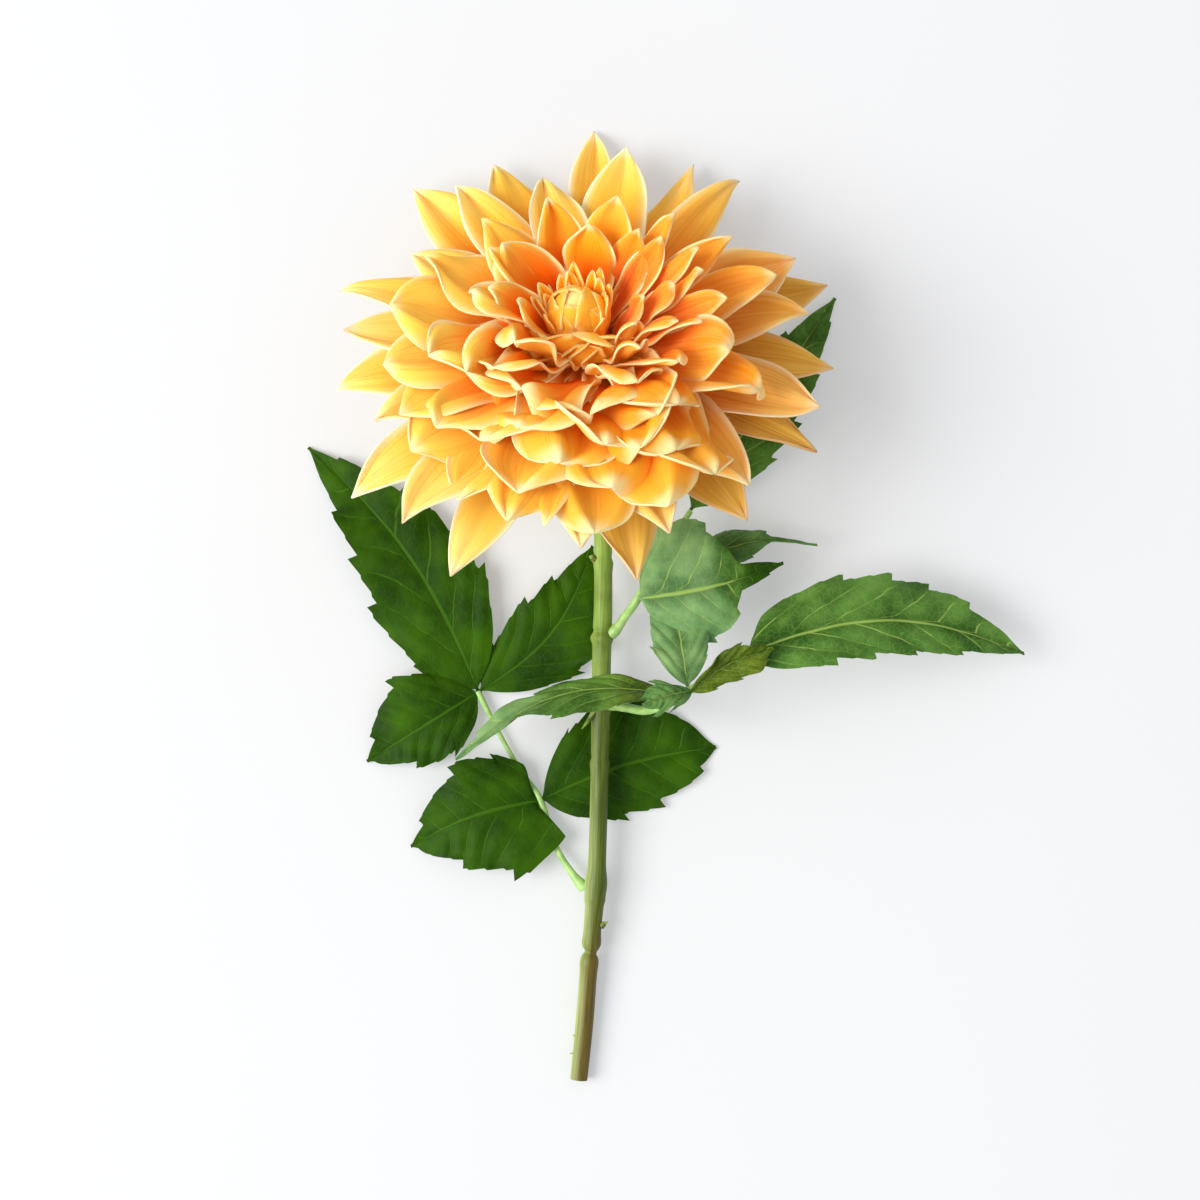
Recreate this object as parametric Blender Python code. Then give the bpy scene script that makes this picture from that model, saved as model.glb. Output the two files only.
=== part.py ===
"""One cut dahlia, laid down on a flat surface with its flower facing up.

The stem lies along -Y, the flower head is at +Y and leans back from the vertical.
Everything is first placed around the point where the head's axis meets its receptacle,
and an empty then moves the whole flower so that the origin is under the middle of its box.
"""

import math

import bmesh
import bpy
from mathutils import Matrix, Vector

MM = 0.001

# The head
HEAD_HEIGHT = 38 * MM  # from the surface to the middle of the receptacle
HEAD_TILT = 35  # degrees between the head's axis and the vertical, towards +Y
PETAL_THICKNESS = 0.7 * MM
PETAL_WIDTH = 17 * MM
CLAW = 0.21  # width of a petal's foot, as a part of its widest place
PETAL_WIDEST = 0.58  # where along its length a petal is widest
PETAL_COLUMNS = 4
PETAL_ROWS = 6
WHORL_COLUMNS = 2
WHORL_ROWS = 5

# Foot of each whorl of petals: distance from the head's axis and height along it
OUTER_FOOT = (11.4 * MM, -1.4 * MM)
SECOND_FOOT = (11.2 * MM, 1.4 * MM)
THIRD_FOOT = (10.6 * MM, 4.0 * MM)

# Petals that are pieces of their own: azimuth in degrees, length in millimetres
OUTER_PETALS = [
    (18, 84), (62, 82), (88, 87), (112, 80), (134, 87), (163, 86), (188, 84),
    (213, 93), (243, 92), (283, 84), (311, 80), (334, 83), (356, 81),
]  # fmt: skip
SECOND_PETALS = [
    (4, 74), (26, 71), (50, 80), (78, 77), (102, 66), (126, 75), (152, 68),
    (181, 81), (207, 77), (232, 94), (268, 81), (290, 80), (312, 78), (341, 79),
]  # fmt: skip
THIRD_PETALS = [(azimuth, 66) for azimuth in range(15, 375, 40)]

# Inner whorls: name, petals, polar angle, length, foot radius, foot height, width (mm), bend
INNER_WHORLS = [
    ("petal_whorl_4", 9, 57, 58, 9.6, 6.3, 14.0, 0),
    ("petal_whorl_5", 8, 43, 49, 8.3, 8.4, 13.0, -24),
    ("petal_whorl_6", 7, 30, 39, 6.6, 9.9, 11.0, -44),
]

# Outlines turned round the head's axis: (radius, height) in millimetres
RECEPTACLE = [
    (0, -11), (3.6, -11), (5.5, -9), (8.4, -5.5), (9.8, -2), (9.7, 1.2),
    (8.6, 4.0), (6.6, 6.2), (3.8, 7.6), (0, 8.1),
]  # fmt: skip
CENTRE_BUD = [
    (0, 9.2), (2.2, 9.6), (5.2, 12.4), (7.6, 16), (8.4, 19.5), (7.7, 22.8),
    (5.4, 25.6), (2.7, 27.2), (0, 27.7),
]  # fmt: skip
TURNED_SIDES = 14

# Bracts behind the petals
BRACT_COUNT = 8
BRACT_LENGTH = 15 * MM
BRACT_WIDTH = 6 * MM
BRACT_FOOT = (6.6 * MM, -9.8 * MM)
BRACT_POLAR = 97

# The stem's middle line from its cut end to the head, with its radius (mm)
STEM_SIDES = 12
STEM_PATH = [
    (-3.2, -244.2, 3.3, 2.9), (-1.5, -227, 4.0, 3.0), (0.2, -205, 5.4, 3.0),
    (0.9, -200, 5.8, 1.9), (1.2, -196, 6.2, 2.9), (2.6, -178, 7.8, 3.6),
    (3.1, -168, 8.7, 3.1), (3.9, -136, 11.0, 3.2), (4.3, -117, 12.0, 3.6),
    (4.5, -110, 12.4, 3.1), (4.7, -93, 13.2, 3.6), (5.0, -84, 13.6, 3.1),
    (5.0, -62, 13.9, 3.1), (4.4, -43, 14.3, 3.1), (3.0, -27.5, 15.8, 3.1),
    (1.5, -17.0, 18.6, 3.1), (0.5, -11.0, 22.4, 3.1), (0, -6.7, 28.4, 3.1),
]  # fmt: skip

# Leaf stalks: the middle line with its radius (mm)
STALK_SIDES = 8
STALKS = {
    "left_leaf_stalk": [
        (-2.5, -177.6, 6.0, 1.5), (-6.3, -172.6, 5.4, 1.3), (-11.3, -164.1, 4.8, 1.2),
        (-16.4, -148.9, 4.4, 1.3), (-23.3, -138.7, 3.8, 1.1), (-30.1, -126.8, 3.5, 1.0),
        (-37.2, -113.2, 3.4, 1.0),
    ],
    "right_leaf_stalk": [
        (8.0, -116.2, 15.6, 1.7), (12.4, -117.0, 20.5, 1.6), (19.3, -117.8, 26.5, 1.5),
        (25.4, -115.7, 31, 1.4), (33.7, -110.6, 35, 1.3), (46.9, -108.9, 37, 1.2),
        (55.0, -106.6, 37, 1.1), (56.4, -101.0, 37, 1.0),
    ],
    "upper_leaf_stalk": [
        (10.2, -90.6, 14.8, 1.5), (12.4, -86.6, 15.4, 1.5), (16.4, -80.2, 16.4, 1.4),
        (22.4, -69.4, 15.4, 1.3), (28.6, -60.0, 13, 1.2), (34.2, -51.6, 10.6, 1.0),
    ],
}  # fmt: skip

# Leaflets. base, tip: places (mm). left, right: widths either side of the midrib, looking
# from the base to the tip. bow: how far the midrib bends to the left. rise: how far it
# arches off its straight line. face: the direction that the upper face looks in.
LEAF_THICKNESS = 0.5 * MM
LEAF_COLUMNS = 4
LEAF_ROWS = 8
LEAF_WIDEST = 0.38
LEAFLETS = {
    "left_leaflet_tip": dict(
        base=(-38.6, -110.0, 3.4), tip=(-95.4, -29.0, 0.5), left=20, right=20, bow=-8, rise=4
    ),
    "left_leaflet_upper_right": dict(
        base=(-34.9, -110.6, 3.2), tip=(0.4, -64.0, 2.4), left=14, right=14, bow=-6, rise=2
    ),
    "left_leaflet_upper_left": dict(
        base=(-39.9, -113.6, 3.2), tip=(-75.0, -135.4, 0.5), left=13, right=19, bow=0, rise=4
    ),
    "left_leaflet_lower_left": dict(
        base=(-18.8, -150.6, 4.0), tip=(-58.8, -164.1, 0.5), left=21, right=20, bow=1, rise=4
    ),
    "left_leaflet_lower_right": dict(
        base=(-13.9, -147.9, 4.0), tip=(44.5, -131.6, 0.6), left=21, right=17, bow=3, rise=0
    ),
    "right_leaflet_tip": dict(
        base=(57.4, -98.8, 37), tip=(146.9, -99.1, 14), left=17, right=14, bow=11, rise=6,
        face=(0.1, 0.35, 0.93),
    ),
    "right_leaflet_crossing": dict(
        base=(28.0, -112.6, 35.4), tip=(-44.1, -134.2, 26), left=14, right=13, bow=-10, rise=6,
        face=(0.1, 0.9, 0.42),
    ),
    "right_leaflet_inner": dict(
        base=(32.0, -107.6, 34), tip=(28.6, -72.0, 25), left=10, right=10, bow=0, rise=1
    ),
    "right_leaflet_small": dict(
        base=(33.4, -111.6, 38), tip=(18.4, -115.4, 41), left=5, right=5, bow=0, rise=2,
        face=(0, 0.5, 0.87),
    ),
    "right_leaflet_curled": dict(
        base=(37.4, -106.6, 38.6), tip=(53.6, -96.6, 44), left=4, right=5, bow=2, rise=-2,
        face=(0, -0.6, 0.8),
    ),
    "upper_leaflet_front": dict(
        base=(18.8, -80.0, 20.6), tip=(64.4, -70.4, 17), left=20, right=16, bow=0, rise=3
    ),
    "upper_leaflet_curled": dict(
        base=(33.6, -61.0, 12), tip=(78.5, -62.4, 8), left=7, right=6, bow=3, rise=4,
        face=(0, 0.6, 0.8),
    ),
    "upper_leaflet_tip": dict(
        base=(35.6, -48.6, 10.2), tip=(84.2, 21.9, 0.5), left=13, right=14, bow=0, rise=3
    ),
}  # fmt: skip

# Colours: base colour, roughness
PETAL_LOOK = ((0.92, 0.50, 0.13), 0.6)
BUD_LOOK = ((0.90, 0.42, 0.08), 0.6)
LEAF_LOOK = ((0.10, 0.24, 0.05), 0.55)
STEM_LOOK = ((0.30, 0.38, 0.11), 0.5)


def clear_scene():
    for obj in list(bpy.data.objects):
        bpy.data.objects.remove(obj, do_unlink=True)


def material(name, look):
    """A plain material with its own colour and roughness."""
    colour, roughness = look
    made = bpy.data.materials.new(name)
    made.use_nodes = True
    shader = made.node_tree.nodes["Principled BSDF"]
    shader.inputs["Base Color"].default_value = (*colour, 1)
    shader.inputs["Roughness"].default_value = roughness
    shader.inputs["Metallic"].default_value = 0
    return made


def add_object(name, mesh_data, look, parent):
    """The named object of a finished bmesh, smooth shaded, under the flower's empty."""
    mesh = bpy.data.meshes.new(name)
    bmesh.ops.recalc_face_normals(mesh_data, faces=mesh_data.faces)
    mesh_data.to_mesh(mesh)
    mesh_data.free()
    mesh.shade_smooth()
    mesh.materials.append(material(name, look))
    obj = bpy.data.objects.new(name, mesh)
    obj.parent = parent
    bpy.context.scene.collection.objects.link(obj)
    return obj


def thicken(obj, thickness):
    """Gives a sheet its thickness, half on each side."""
    solidify = obj.modifiers.new("Thickness", "SOLIDIFY")
    solidify.thickness = thickness
    solidify.offset = 0


def fill_grid(mesh_data, rows):
    """Quads between rows of vertices."""
    for lower, upper in zip(rows, rows[1:]):
        for column in range(len(lower) - 1):
            corners = (lower[column], lower[column + 1], upper[column + 1], upper[column])
            mesh_data.faces.new(corners)


def head_matrix():
    """Takes the head's own axes, with its axis along +Z, to the tilted head."""
    tilt = Matrix.Rotation(math.radians(-HEAD_TILT), 4, "X")
    return Matrix.Translation((0, 0, HEAD_HEIGHT)) @ tilt


def arc_point(start, end, bend, along):
    """A point and the heading at a part of the way along an arc, in the plane (radius, height).

    bend is the angle that the arc turns through, and a heading is measured from the height axis.
    """
    run = (end[0] - start[0], end[1] - start[1])
    chord = math.hypot(*run)
    middle = math.atan2(run[0], run[1])
    heading = middle + bend * (along - 0.5)
    if abs(bend) < 1e-4:
        return start[0] + run[0] * along, start[1] + run[1] * along, heading
    size = chord / (2 * math.sin(bend / 2))
    first = middle - bend / 2
    across = start[0] + size * (math.cos(first) - math.cos(heading))
    up = start[1] + size * (math.sin(heading) - math.sin(first))
    return across, up, heading


def petal_width(along):
    """Half-width of a petal as a part of its widest half-width."""
    if along < PETAL_WIDEST:
        return CLAW + (1 - CLAW) * math.sin(math.pi / 2 * along / PETAL_WIDEST)
    past = (along - PETAL_WIDEST) / (1 - PETAL_WIDEST)
    return max(1 - past**2.0, 0.1)


def petal_point(foot, tip, azimuth, width, bend, along, side):
    """A point of a petal's sheet. side runs from -1 to 1 across it, along from 0 to 1."""
    radius, height, heading = arc_point(foot, tip, bend, along)
    half = 0.5 * width * petal_width(along)
    cup = math.radians(72 - 34 * along)
    curve = half / cup
    across = curve * math.sin(side * cup)
    lift = curve * (1 - math.cos(side * cup))
    radius -= lift * math.cos(heading)
    height += lift * math.sin(heading)
    turned = Matrix.Rotation(azimuth, 4, "Z")
    return turned @ Vector((radius, across, height))


def petal(name, azimuth, polar, length, foot, bend, parent):
    """One petal of an outer whorl."""
    tip = (length * math.sin(polar), length * math.cos(polar))
    frame = head_matrix()
    mesh_data = bmesh.new()
    rows = []
    for row in range(PETAL_ROWS + 1):
        along = row / PETAL_ROWS
        places = []
        for column in range(PETAL_COLUMNS + 1):
            side = 2 * column / PETAL_COLUMNS - 1
            place = petal_point(foot, tip, azimuth, PETAL_WIDTH, bend, along, side)
            places.append(mesh_data.verts.new(frame @ place))
        rows.append(places)
    fill_grid(mesh_data, rows)
    thicken(add_object(name, mesh_data, PETAL_LOOK, parent), PETAL_THICKNESS)


def outer_petals(parent):
    """Three whorls of single petals. Those that point down hang further back."""
    whorls = [
        ("outer_petal", OUTER_PETALS, OUTER_FOOT, 90, 10, 16),
        ("second_petal", SECOND_PETALS, SECOND_FOOT, 81, 7, 16),
        ("third_petal", THIRD_PETALS, THIRD_FOOT, 69, 4, 10),
    ]
    for prefix, petals, foot, polar, droop, bend in whorls:
        for number, (azimuth, length) in enumerate(petals, 1):
            turn = math.radians(azimuth)
            down = math.radians(polar - droop * math.sin(turn))
            name = f"{prefix}_{number:02d}"
            petal(name, turn, down, length * MM, foot, math.radians(bend), parent)


def ring_petals(name, count, polar, length, foot, width, bend, look, parent, phase=0.0):
    """A whorl in one piece: a collar around the head's axis with its petals growing from it."""
    tip = (length * math.sin(polar), length * math.cos(polar))
    frame = head_matrix()
    mesh_data = bmesh.new()
    feet = []
    for index in range(count):
        azimuth = 2 * math.pi * index / count + phase
        rows = []
        for row in range(WHORL_ROWS + 1):
            places = []
            for column in range(WHORL_COLUMNS + 1):
                side = 2 * column / WHORL_COLUMNS - 1
                place = petal_point(foot, tip, azimuth, width, bend, row / WHORL_ROWS, side)
                places.append(mesh_data.verts.new(frame @ place))
            rows.append(places)
        fill_grid(mesh_data, rows)
        feet += rows[0]
    collar = []
    for vertex in feet:
        place = frame.inverted() @ vertex.co
        flat = Vector((place.x, place.y, 0)) * (1 - 0.9 * MM / foot[0])
        collar.append(mesh_data.verts.new(frame @ Vector((flat.x, flat.y, place.z - 0.5 * MM))))
    fill_grid(mesh_data, [collar + collar[:1], feet + feet[:1]])
    thicken(add_object(name, mesh_data, look, parent), PETAL_THICKNESS)


def inner_whorls(parent):
    for order, (name, count, polar, length, radius, height, width, bend) in enumerate(INNER_WHORLS):
        ring_petals(
            name, count, math.radians(polar), length * MM, (radius * MM, height * MM),
            width * MM, math.radians(bend), PETAL_LOOK, parent, phase=0.3 * order,
        )  # fmt: skip


def bracts(parent):
    """The green bracts that close the head at the back."""
    ring_petals(
        "bracts", BRACT_COUNT, math.radians(BRACT_POLAR + 25), BRACT_LENGTH + BRACT_FOOT[0],
        BRACT_FOOT, BRACT_WIDTH, math.radians(-20), LEAF_LOOK, parent,
    )  # fmt: skip


def turned_solid(name, outline, look, parent):
    """A solid turned round the head's axis from an outline that starts and ends on it."""
    mesh_data = bmesh.new()
    frame = head_matrix()
    rows = []
    for radius, height in outline[1:-1]:
        ring = []
        for side in range(TURNED_SIDES):
            turn = 2 * math.pi * side / TURNED_SIDES
            place = Vector((radius * math.cos(turn), radius * math.sin(turn), height)) * MM
            ring.append(mesh_data.verts.new(frame @ place))
        rows.append(ring + ring[:1])
    fill_grid(mesh_data, rows)
    for (_, height), ring in ((outline[0], rows[0]), (outline[-1], rows[-1])):
        end = mesh_data.verts.new(frame @ Vector((0, 0, height * MM)))
        for first, second in zip(ring, ring[1:]):
            mesh_data.faces.new((end, first, second))
    add_object(name, mesh_data, look, parent)


def smooth_path(points, steps):
    """Points along a smooth curve through the given ones, with their radius as a fourth value."""
    ends = [points[0], *points, points[-1]]
    path = []
    for before, start, end, after in zip(ends, ends[1:], ends[2:], ends[3:]):
        for step in range(steps):
            part = step / steps
            values = []
            for a, b, c, d in zip(before, start, end, after):
                slope_in = (c - a) / 2
                slope_out = (d - b) / 2
                cubic = 2 * b - 2 * c + slope_in + slope_out
                square = 3 * c - 3 * b - 2 * slope_in - slope_out
                values.append(((cubic * part + square) * part + slope_in) * part + b)
            path.append(values)
    path.append(list(points[-1]))
    return path


def stalk(name, points, sides, look, parent, steps=1):
    """A round stalk along a path, closed at both ends."""
    path = smooth_path(points, steps)
    centres = [Vector(values[:3]) * MM for values in path]
    mesh_data = bmesh.new()
    rows = []
    for index, (centre, values) in enumerate(zip(centres, path)):
        ahead = centres[min(index + 1, len(path) - 1)]
        behind = centres[max(index - 1, 0)]
        turn = (ahead - behind).to_track_quat("Z", "X")
        ring = []
        for side in range(sides):
            angle = 2 * math.pi * side / sides
            offset = Vector((math.cos(angle), math.sin(angle), 0)) * values[3] * MM
            ring.append(mesh_data.verts.new(centre + turn @ offset))
        rows.append(ring)
    for lower, upper in zip(rows, rows[1:]):
        for side in range(sides):
            after = (side + 1) % sides
            mesh_data.faces.new((lower[side], lower[after], upper[after], upper[side]))
    mesh_data.faces.new(rows[0][::-1])
    mesh_data.faces.new(rows[-1])
    add_object(name, mesh_data, look, parent)


def leaflet(name, base, tip, left, right, bow, rise, parent, face=(0, 0, 1)):
    """One leaflet: a thin sheet on both sides of a bent midrib."""
    start = Vector(base) * MM
    run = Vector(tip) * MM - start
    ahead = run.normalized()
    sideways = Vector(face).cross(ahead).normalized()
    normal = ahead.cross(sideways)
    mesh_data = bmesh.new()
    rows = []
    for row in range(LEAF_ROWS + 1):
        along = row / LEAF_ROWS
        swell = math.sin(math.pi * along)
        middle = start + run * along + (sideways * bow + normal * rise) * swell * MM
        if along < LEAF_WIDEST:
            width = math.sin(math.pi / 2 * along / LEAF_WIDEST) ** 0.7
        else:
            width = 1 - ((along - LEAF_WIDEST) / (1 - LEAF_WIDEST)) ** 1.6
        width = max(width, 0.05)
        places = []
        for column in range(LEAF_COLUMNS + 1):
            side = 1 - 2 * column / LEAF_COLUMNS
            reach = (left if side > 0 else right) * side * width * MM
            places.append(mesh_data.verts.new(middle + sideways * reach))
        rows.append(places)
    fill_grid(mesh_data, rows)
    thicken(add_object(name, mesh_data, LEAF_LOOK, parent), LEAF_THICKNESS)


def centre_on_surface(parent):
    """Moves the flower so that the origin is under the middle of its box, on the surface."""
    bpy.context.view_layer.update()
    graph = bpy.context.evaluated_depsgraph_get()
    corners = []
    for obj in parent.children:
        corners += [Vector(corner) for corner in obj.evaluated_get(graph).bound_box]
    low = [min(corner[axis] for corner in corners) for axis in range(3)]
    high = [max(corner[axis] for corner in corners) for axis in range(3)]
    parent.location = (-(low[0] + high[0]) / 2, -(low[1] + high[1]) / 2, -low[2])


def build():
    clear_scene()
    flower = bpy.data.objects.new("dahlia", None)
    bpy.context.scene.collection.objects.link(flower)
    stalk("stem", STEM_PATH, STEM_SIDES, STEM_LOOK, flower)
    turned_solid("receptacle", RECEPTACLE, STEM_LOOK, flower)
    bracts(flower)
    outer_petals(flower)
    inner_whorls(flower)
    turned_solid("centre_bud", CENTRE_BUD, BUD_LOOK, flower)
    for name, points in STALKS.items():
        stalk(name, points, STALK_SIDES, STEM_LOOK, flower)
    for name, shape in LEAFLETS.items():
        leaflet(name, parent=flower, **shape)
    centre_on_surface(flower)


build()
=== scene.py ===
"""The looks of one cut dahlia that lies on its back: petals, leaves, stem, light and camera.

In the tables, lengths are in millimetres and angles in degrees. A place is measured from the
point on the surface under the head: to the right, towards the top of the flower, and up.
"""

import math
from dataclasses import dataclass
from types import SimpleNamespace

import bpy
import numpy as np
from mathutils import Matrix, Vector


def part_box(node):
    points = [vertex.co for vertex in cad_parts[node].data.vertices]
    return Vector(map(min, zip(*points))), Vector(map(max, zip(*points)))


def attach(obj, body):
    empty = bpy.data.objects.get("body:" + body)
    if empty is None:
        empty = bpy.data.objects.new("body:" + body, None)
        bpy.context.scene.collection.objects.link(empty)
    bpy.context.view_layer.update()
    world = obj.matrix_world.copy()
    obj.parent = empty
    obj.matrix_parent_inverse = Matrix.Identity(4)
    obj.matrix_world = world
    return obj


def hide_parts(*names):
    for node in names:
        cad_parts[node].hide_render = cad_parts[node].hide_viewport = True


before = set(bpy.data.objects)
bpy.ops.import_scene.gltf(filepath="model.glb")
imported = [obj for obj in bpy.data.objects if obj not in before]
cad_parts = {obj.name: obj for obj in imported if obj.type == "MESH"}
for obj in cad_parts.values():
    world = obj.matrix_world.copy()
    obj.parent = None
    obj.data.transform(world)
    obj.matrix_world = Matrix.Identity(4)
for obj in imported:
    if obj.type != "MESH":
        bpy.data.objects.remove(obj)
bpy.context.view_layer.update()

MM = 0.001
BODY = "root"

# ---------------------------------------------------------------- places taken from the frame

HEAD_TILT = math.radians(35)
# From the middle of the receptacle's box to the point where its petals meet the head's axis
RECEPTACLE_TO_HEAD = Vector((0, 0.35, 1.13)) * MM


def middle(node):
    low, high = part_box(node)
    return (low + high) / 2


HEAD = middle("receptacle") + RECEPTACLE_TO_HEAD
HEAD_MATRIX = Matrix.Translation(HEAD) @ Matrix.Rotation(-HEAD_TILT, 4, "X")
ORIGIN = Vector((HEAD.x, HEAD.y, 0))  # on the surface, under the head

CAMERA_DISTANCE = 1.1  # from the camera down to the middle of the head
CAMERA_PLACE = (4.0, -81.0)  # millimetres from the point under the head
CAMERA_LENS = 100


def place(point):
    """A point given in millimetres from the surface under the head."""
    return ORIGIN + Vector(point) * MM


# ---------------------------------------------------------------- meshes


def smoothstep(low, high, value):
    part = np.clip((value - low) / (high - low), 0, 1)
    return part * part * (3 - 2 * part)


def crowded(columns, spread):
    """Places across a petal or a leaf, -1 to 1 and closer together near the two edges."""
    side = np.sin(np.linspace(-1, 1, columns) * np.pi / 2 * spread)
    return (side / side[-1])[None, :]


def turned(across, lift, angle):
    """A cross-section turned about the line that runs through it, from its left side up."""
    return (
        across * np.cos(angle) - lift * np.sin(angle),
        across * np.sin(angle) + lift * np.cos(angle),
    )


def in_world(local, matrix):
    """Points in millimetres in the axes of matrix, turned to points of the scene."""
    matrix = np.array(matrix)
    return local * MM @ matrix[:3, :3].T + matrix[:3, 3]


def grid_normals(points):
    """Unit normals of a grid of points, rows along it and columns across it."""
    normal = np.cross(np.gradient(points, axis=0), np.gradient(points, axis=1))
    size = np.linalg.norm(normal, axis=2, keepdims=True)
    return normal / np.maximum(size, 1e-12)


def shell(points, thickness, uv, marks):
    """A closed thin solid round a grid of points: vertices, faces, UVs and marks of each vertex.

    marks holds the numbers that materials read, each for the whole shell or for every point.
    "under" is added to them: 0 on the side that the grid's normals point to, and 1 below.
    """
    rows, columns, _ = points.shape
    offset = grid_normals(points) * np.asarray(thickness)[..., None] / 2
    count = rows * columns
    number = np.arange(count).reshape(rows, columns)
    a, b = number[:-1, :-1].ravel(), number[:-1, 1:].ravel()
    c, d = number[1:, 1:].ravel(), number[1:, :-1].ravel()
    top = np.stack([a, d, c, b], axis=1)
    bottom = np.stack([a, b, c, d], axis=1) + count
    edge = np.concatenate(
        [number[0, :], number[1:, -1], number[-1, -2::-1], number[-2:0:-1, 0]]
    )
    after = np.roll(edge, -1)
    rim = np.stack([edge, after, after + count, edge + count], axis=1)
    vertices = np.concatenate([points + offset, points - offset]).reshape(-1, 3)
    values = {"under": np.repeat([0.0, 1.0], count)}
    for name, value in marks.items():
        values[name] = np.tile(np.broadcast_to(value, (rows, columns)).ravel(), 2)
    faces = np.concatenate([top, bottom, rim])
    return vertices, faces, np.tile(uv.reshape(-1, 2), (2, 1)), values


def ring_faces(rings, columns):
    """Faces of a closed tube: walls between its rings of points, and a fan at each end.

    The middle points of the two ends are numbered after the rings, the first ring's first.
    """
    number = np.arange(rings * columns).reshape(rings, columns)
    after = np.roll(number, -1, axis=1)
    corners = (number[:-1], after[:-1], after[1:], number[1:])
    walls = np.stack([corner.ravel() for corner in corners], axis=1)
    low, high = rings * columns, rings * columns + 1
    caps = []
    for one in range(0, columns, 2):
        two, three = one + 1, (one + 2) % columns
        caps.append([low, number[0][three], number[0][two], number[0][one]])
        caps.append([high, number[-1][one], number[-1][two], number[-1][three]])
    return np.concatenate([walls, np.array(caps)])


def join_shells(shells):
    """One set of vertices, faces, UVs and marks. A shell that has no marks comes last."""
    vertices, faces, uvs, values = [], [], [], {}
    first = 0
    for part_vertices, part_faces, part_uv, part_values in shells:
        vertices.append(part_vertices)
        faces.append(part_faces + first)
        uvs.append(part_uv)
        for name, value in part_values.items():
            values.setdefault(name, []).append(value)
        first += len(part_vertices)
    for name, parts in values.items():
        merged = np.concatenate(parts)
        values[name] = np.concatenate([merged, np.zeros(first - len(merged))])
    return np.concatenate(vertices), np.concatenate(faces), np.concatenate(uvs), values


def mesh_object(name, shells, material, sharp=50):
    """One object of one or more closed shells, with its UVs and marks, riding on the body."""
    vertices, faces, uv, values = join_shells(shells)
    mesh = bpy.data.meshes.new(name)
    mesh.from_pydata(vertices.tolist(), [], faces.tolist())
    mesh.validate()
    layer = mesh.uv_layers.new(name="UVMap")
    corner = np.empty(len(mesh.loops), dtype=np.int32)
    mesh.loops.foreach_get("vertex_index", corner)
    layer.data.foreach_set("uv", uv[corner].ravel())
    for mark, value in values.items():
        attribute = mesh.attributes.new(mark, "FLOAT", "POINT")
        attribute.data.foreach_set("value", value.astype(np.float32))
    mesh.shade_smooth()
    mesh.set_sharp_from_angle(angle=math.radians(sharp))
    mesh.materials.append(material)
    obj = bpy.data.objects.new(name, mesh)
    bpy.context.scene.collection.objects.link(obj)
    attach(obj, BODY)
    return obj


# ---------------------------------------------------------------- petals

PETAL_COLUMNS = 19
PETAL_ROWS = 29
PETAL_THICKNESS = 0.8 * MM
TIP_CROWDING = 1.3  # above 1, the rows lie closer together near the tip
LINE_STEPS = 241  # steps in which the middle line of a petal is worked out
RELIEF_WIDTH = 22  # the width of a petal whose waves and folds have the height that is stated
GROOVE_DEPTH = 0.3
UNEVEN_RIM = 0.05  # how much the half-width varies along a petal, as a part of it

# How a petal changes with the angle between its tip and the head's axis. BEND is the turn
# along the whole petal, positive outwards, and CUP the curl of the cross-section.
POLAR = [0, 15, 26, 37, 47, 58, 69, 81, 95]
LENGTH = [29, 32, 38, 46, 54, 61, 69, 79, 87]
FOOT_RADIUS = [5.0, 6.6, 7.6, 8.2, 9.0, 9.9, 10.6, 11.2, 11.4]
FOOT_HEIGHT = [13, 12, 11, 9.8, 8.2, 6.2, 4.0, 1.4, -1.4]
WIDTH = [11, 13, 15.5, 18.5, 21.5, 24, 25.5, 25.5, 24.5]
BEND = [-80, -52, -32, -18, -6, 4, 10, 16, 18]
CUP = [66, 66, 68, 70, 68, 63, 56, 50, 46]
FOOT_CUP = 84


@dataclass
class Petal:
    """One petal, in the axes of the head or of the bud."""

    azimuth: float
    polar: float  # angle between its tip and the axis
    length: float  # from the middle of the head to the tip
    width: float  # a part of the usual width
    bend: float  # added to the usual bend
    tip_cup: float  # curl of the cross-section at the tip
    flare: float  # how much the rim turns back out
    wave: float  # height of the rim's waves
    ruffle: float  # depth of the folds that run along the petal towards its tip
    twist: float  # turn about its own length, positive turns the left rim up
    point: float  # how blunt the tip is
    cup: float = 0.0  # added to the usual curl of the cross-section
    tip_bend: float = 0.0  # a further bend near the tip, positive outwards
    lip: float = 0.0  # a last bend at the very tip, positive outwards
    bow: float = 0.0  # how far the tip is swept sideways
    claw: float = 0.28  # width of the foot, as a part of the widest
    widest: float = 0.58  # how far along it is widest
    foot_out: float = 0.0  # how much further out than usual it is rooted
    foot_down: float = 0.0  # how much lower than usual it is rooted
    olive: float = 0.0  # how olive its colour is: partly its own colour, partly painted shade on the shaded right
    painted_shade_tan: float = 0.0  # painted shade: how far its colour goes to orange-brown on the shaded right of the flower
    fresh: float = 0.0  # painted light: how much yellower and paler its body is on the lit left of the flower
    deep_orange_and_shade: float = 0.0  # how much further along it the deep orange reaches: partly its own colour, partly painted shade deep in the head

    def usual(self, table):
        return np.interp(self.polar, POLAR, table)


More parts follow.
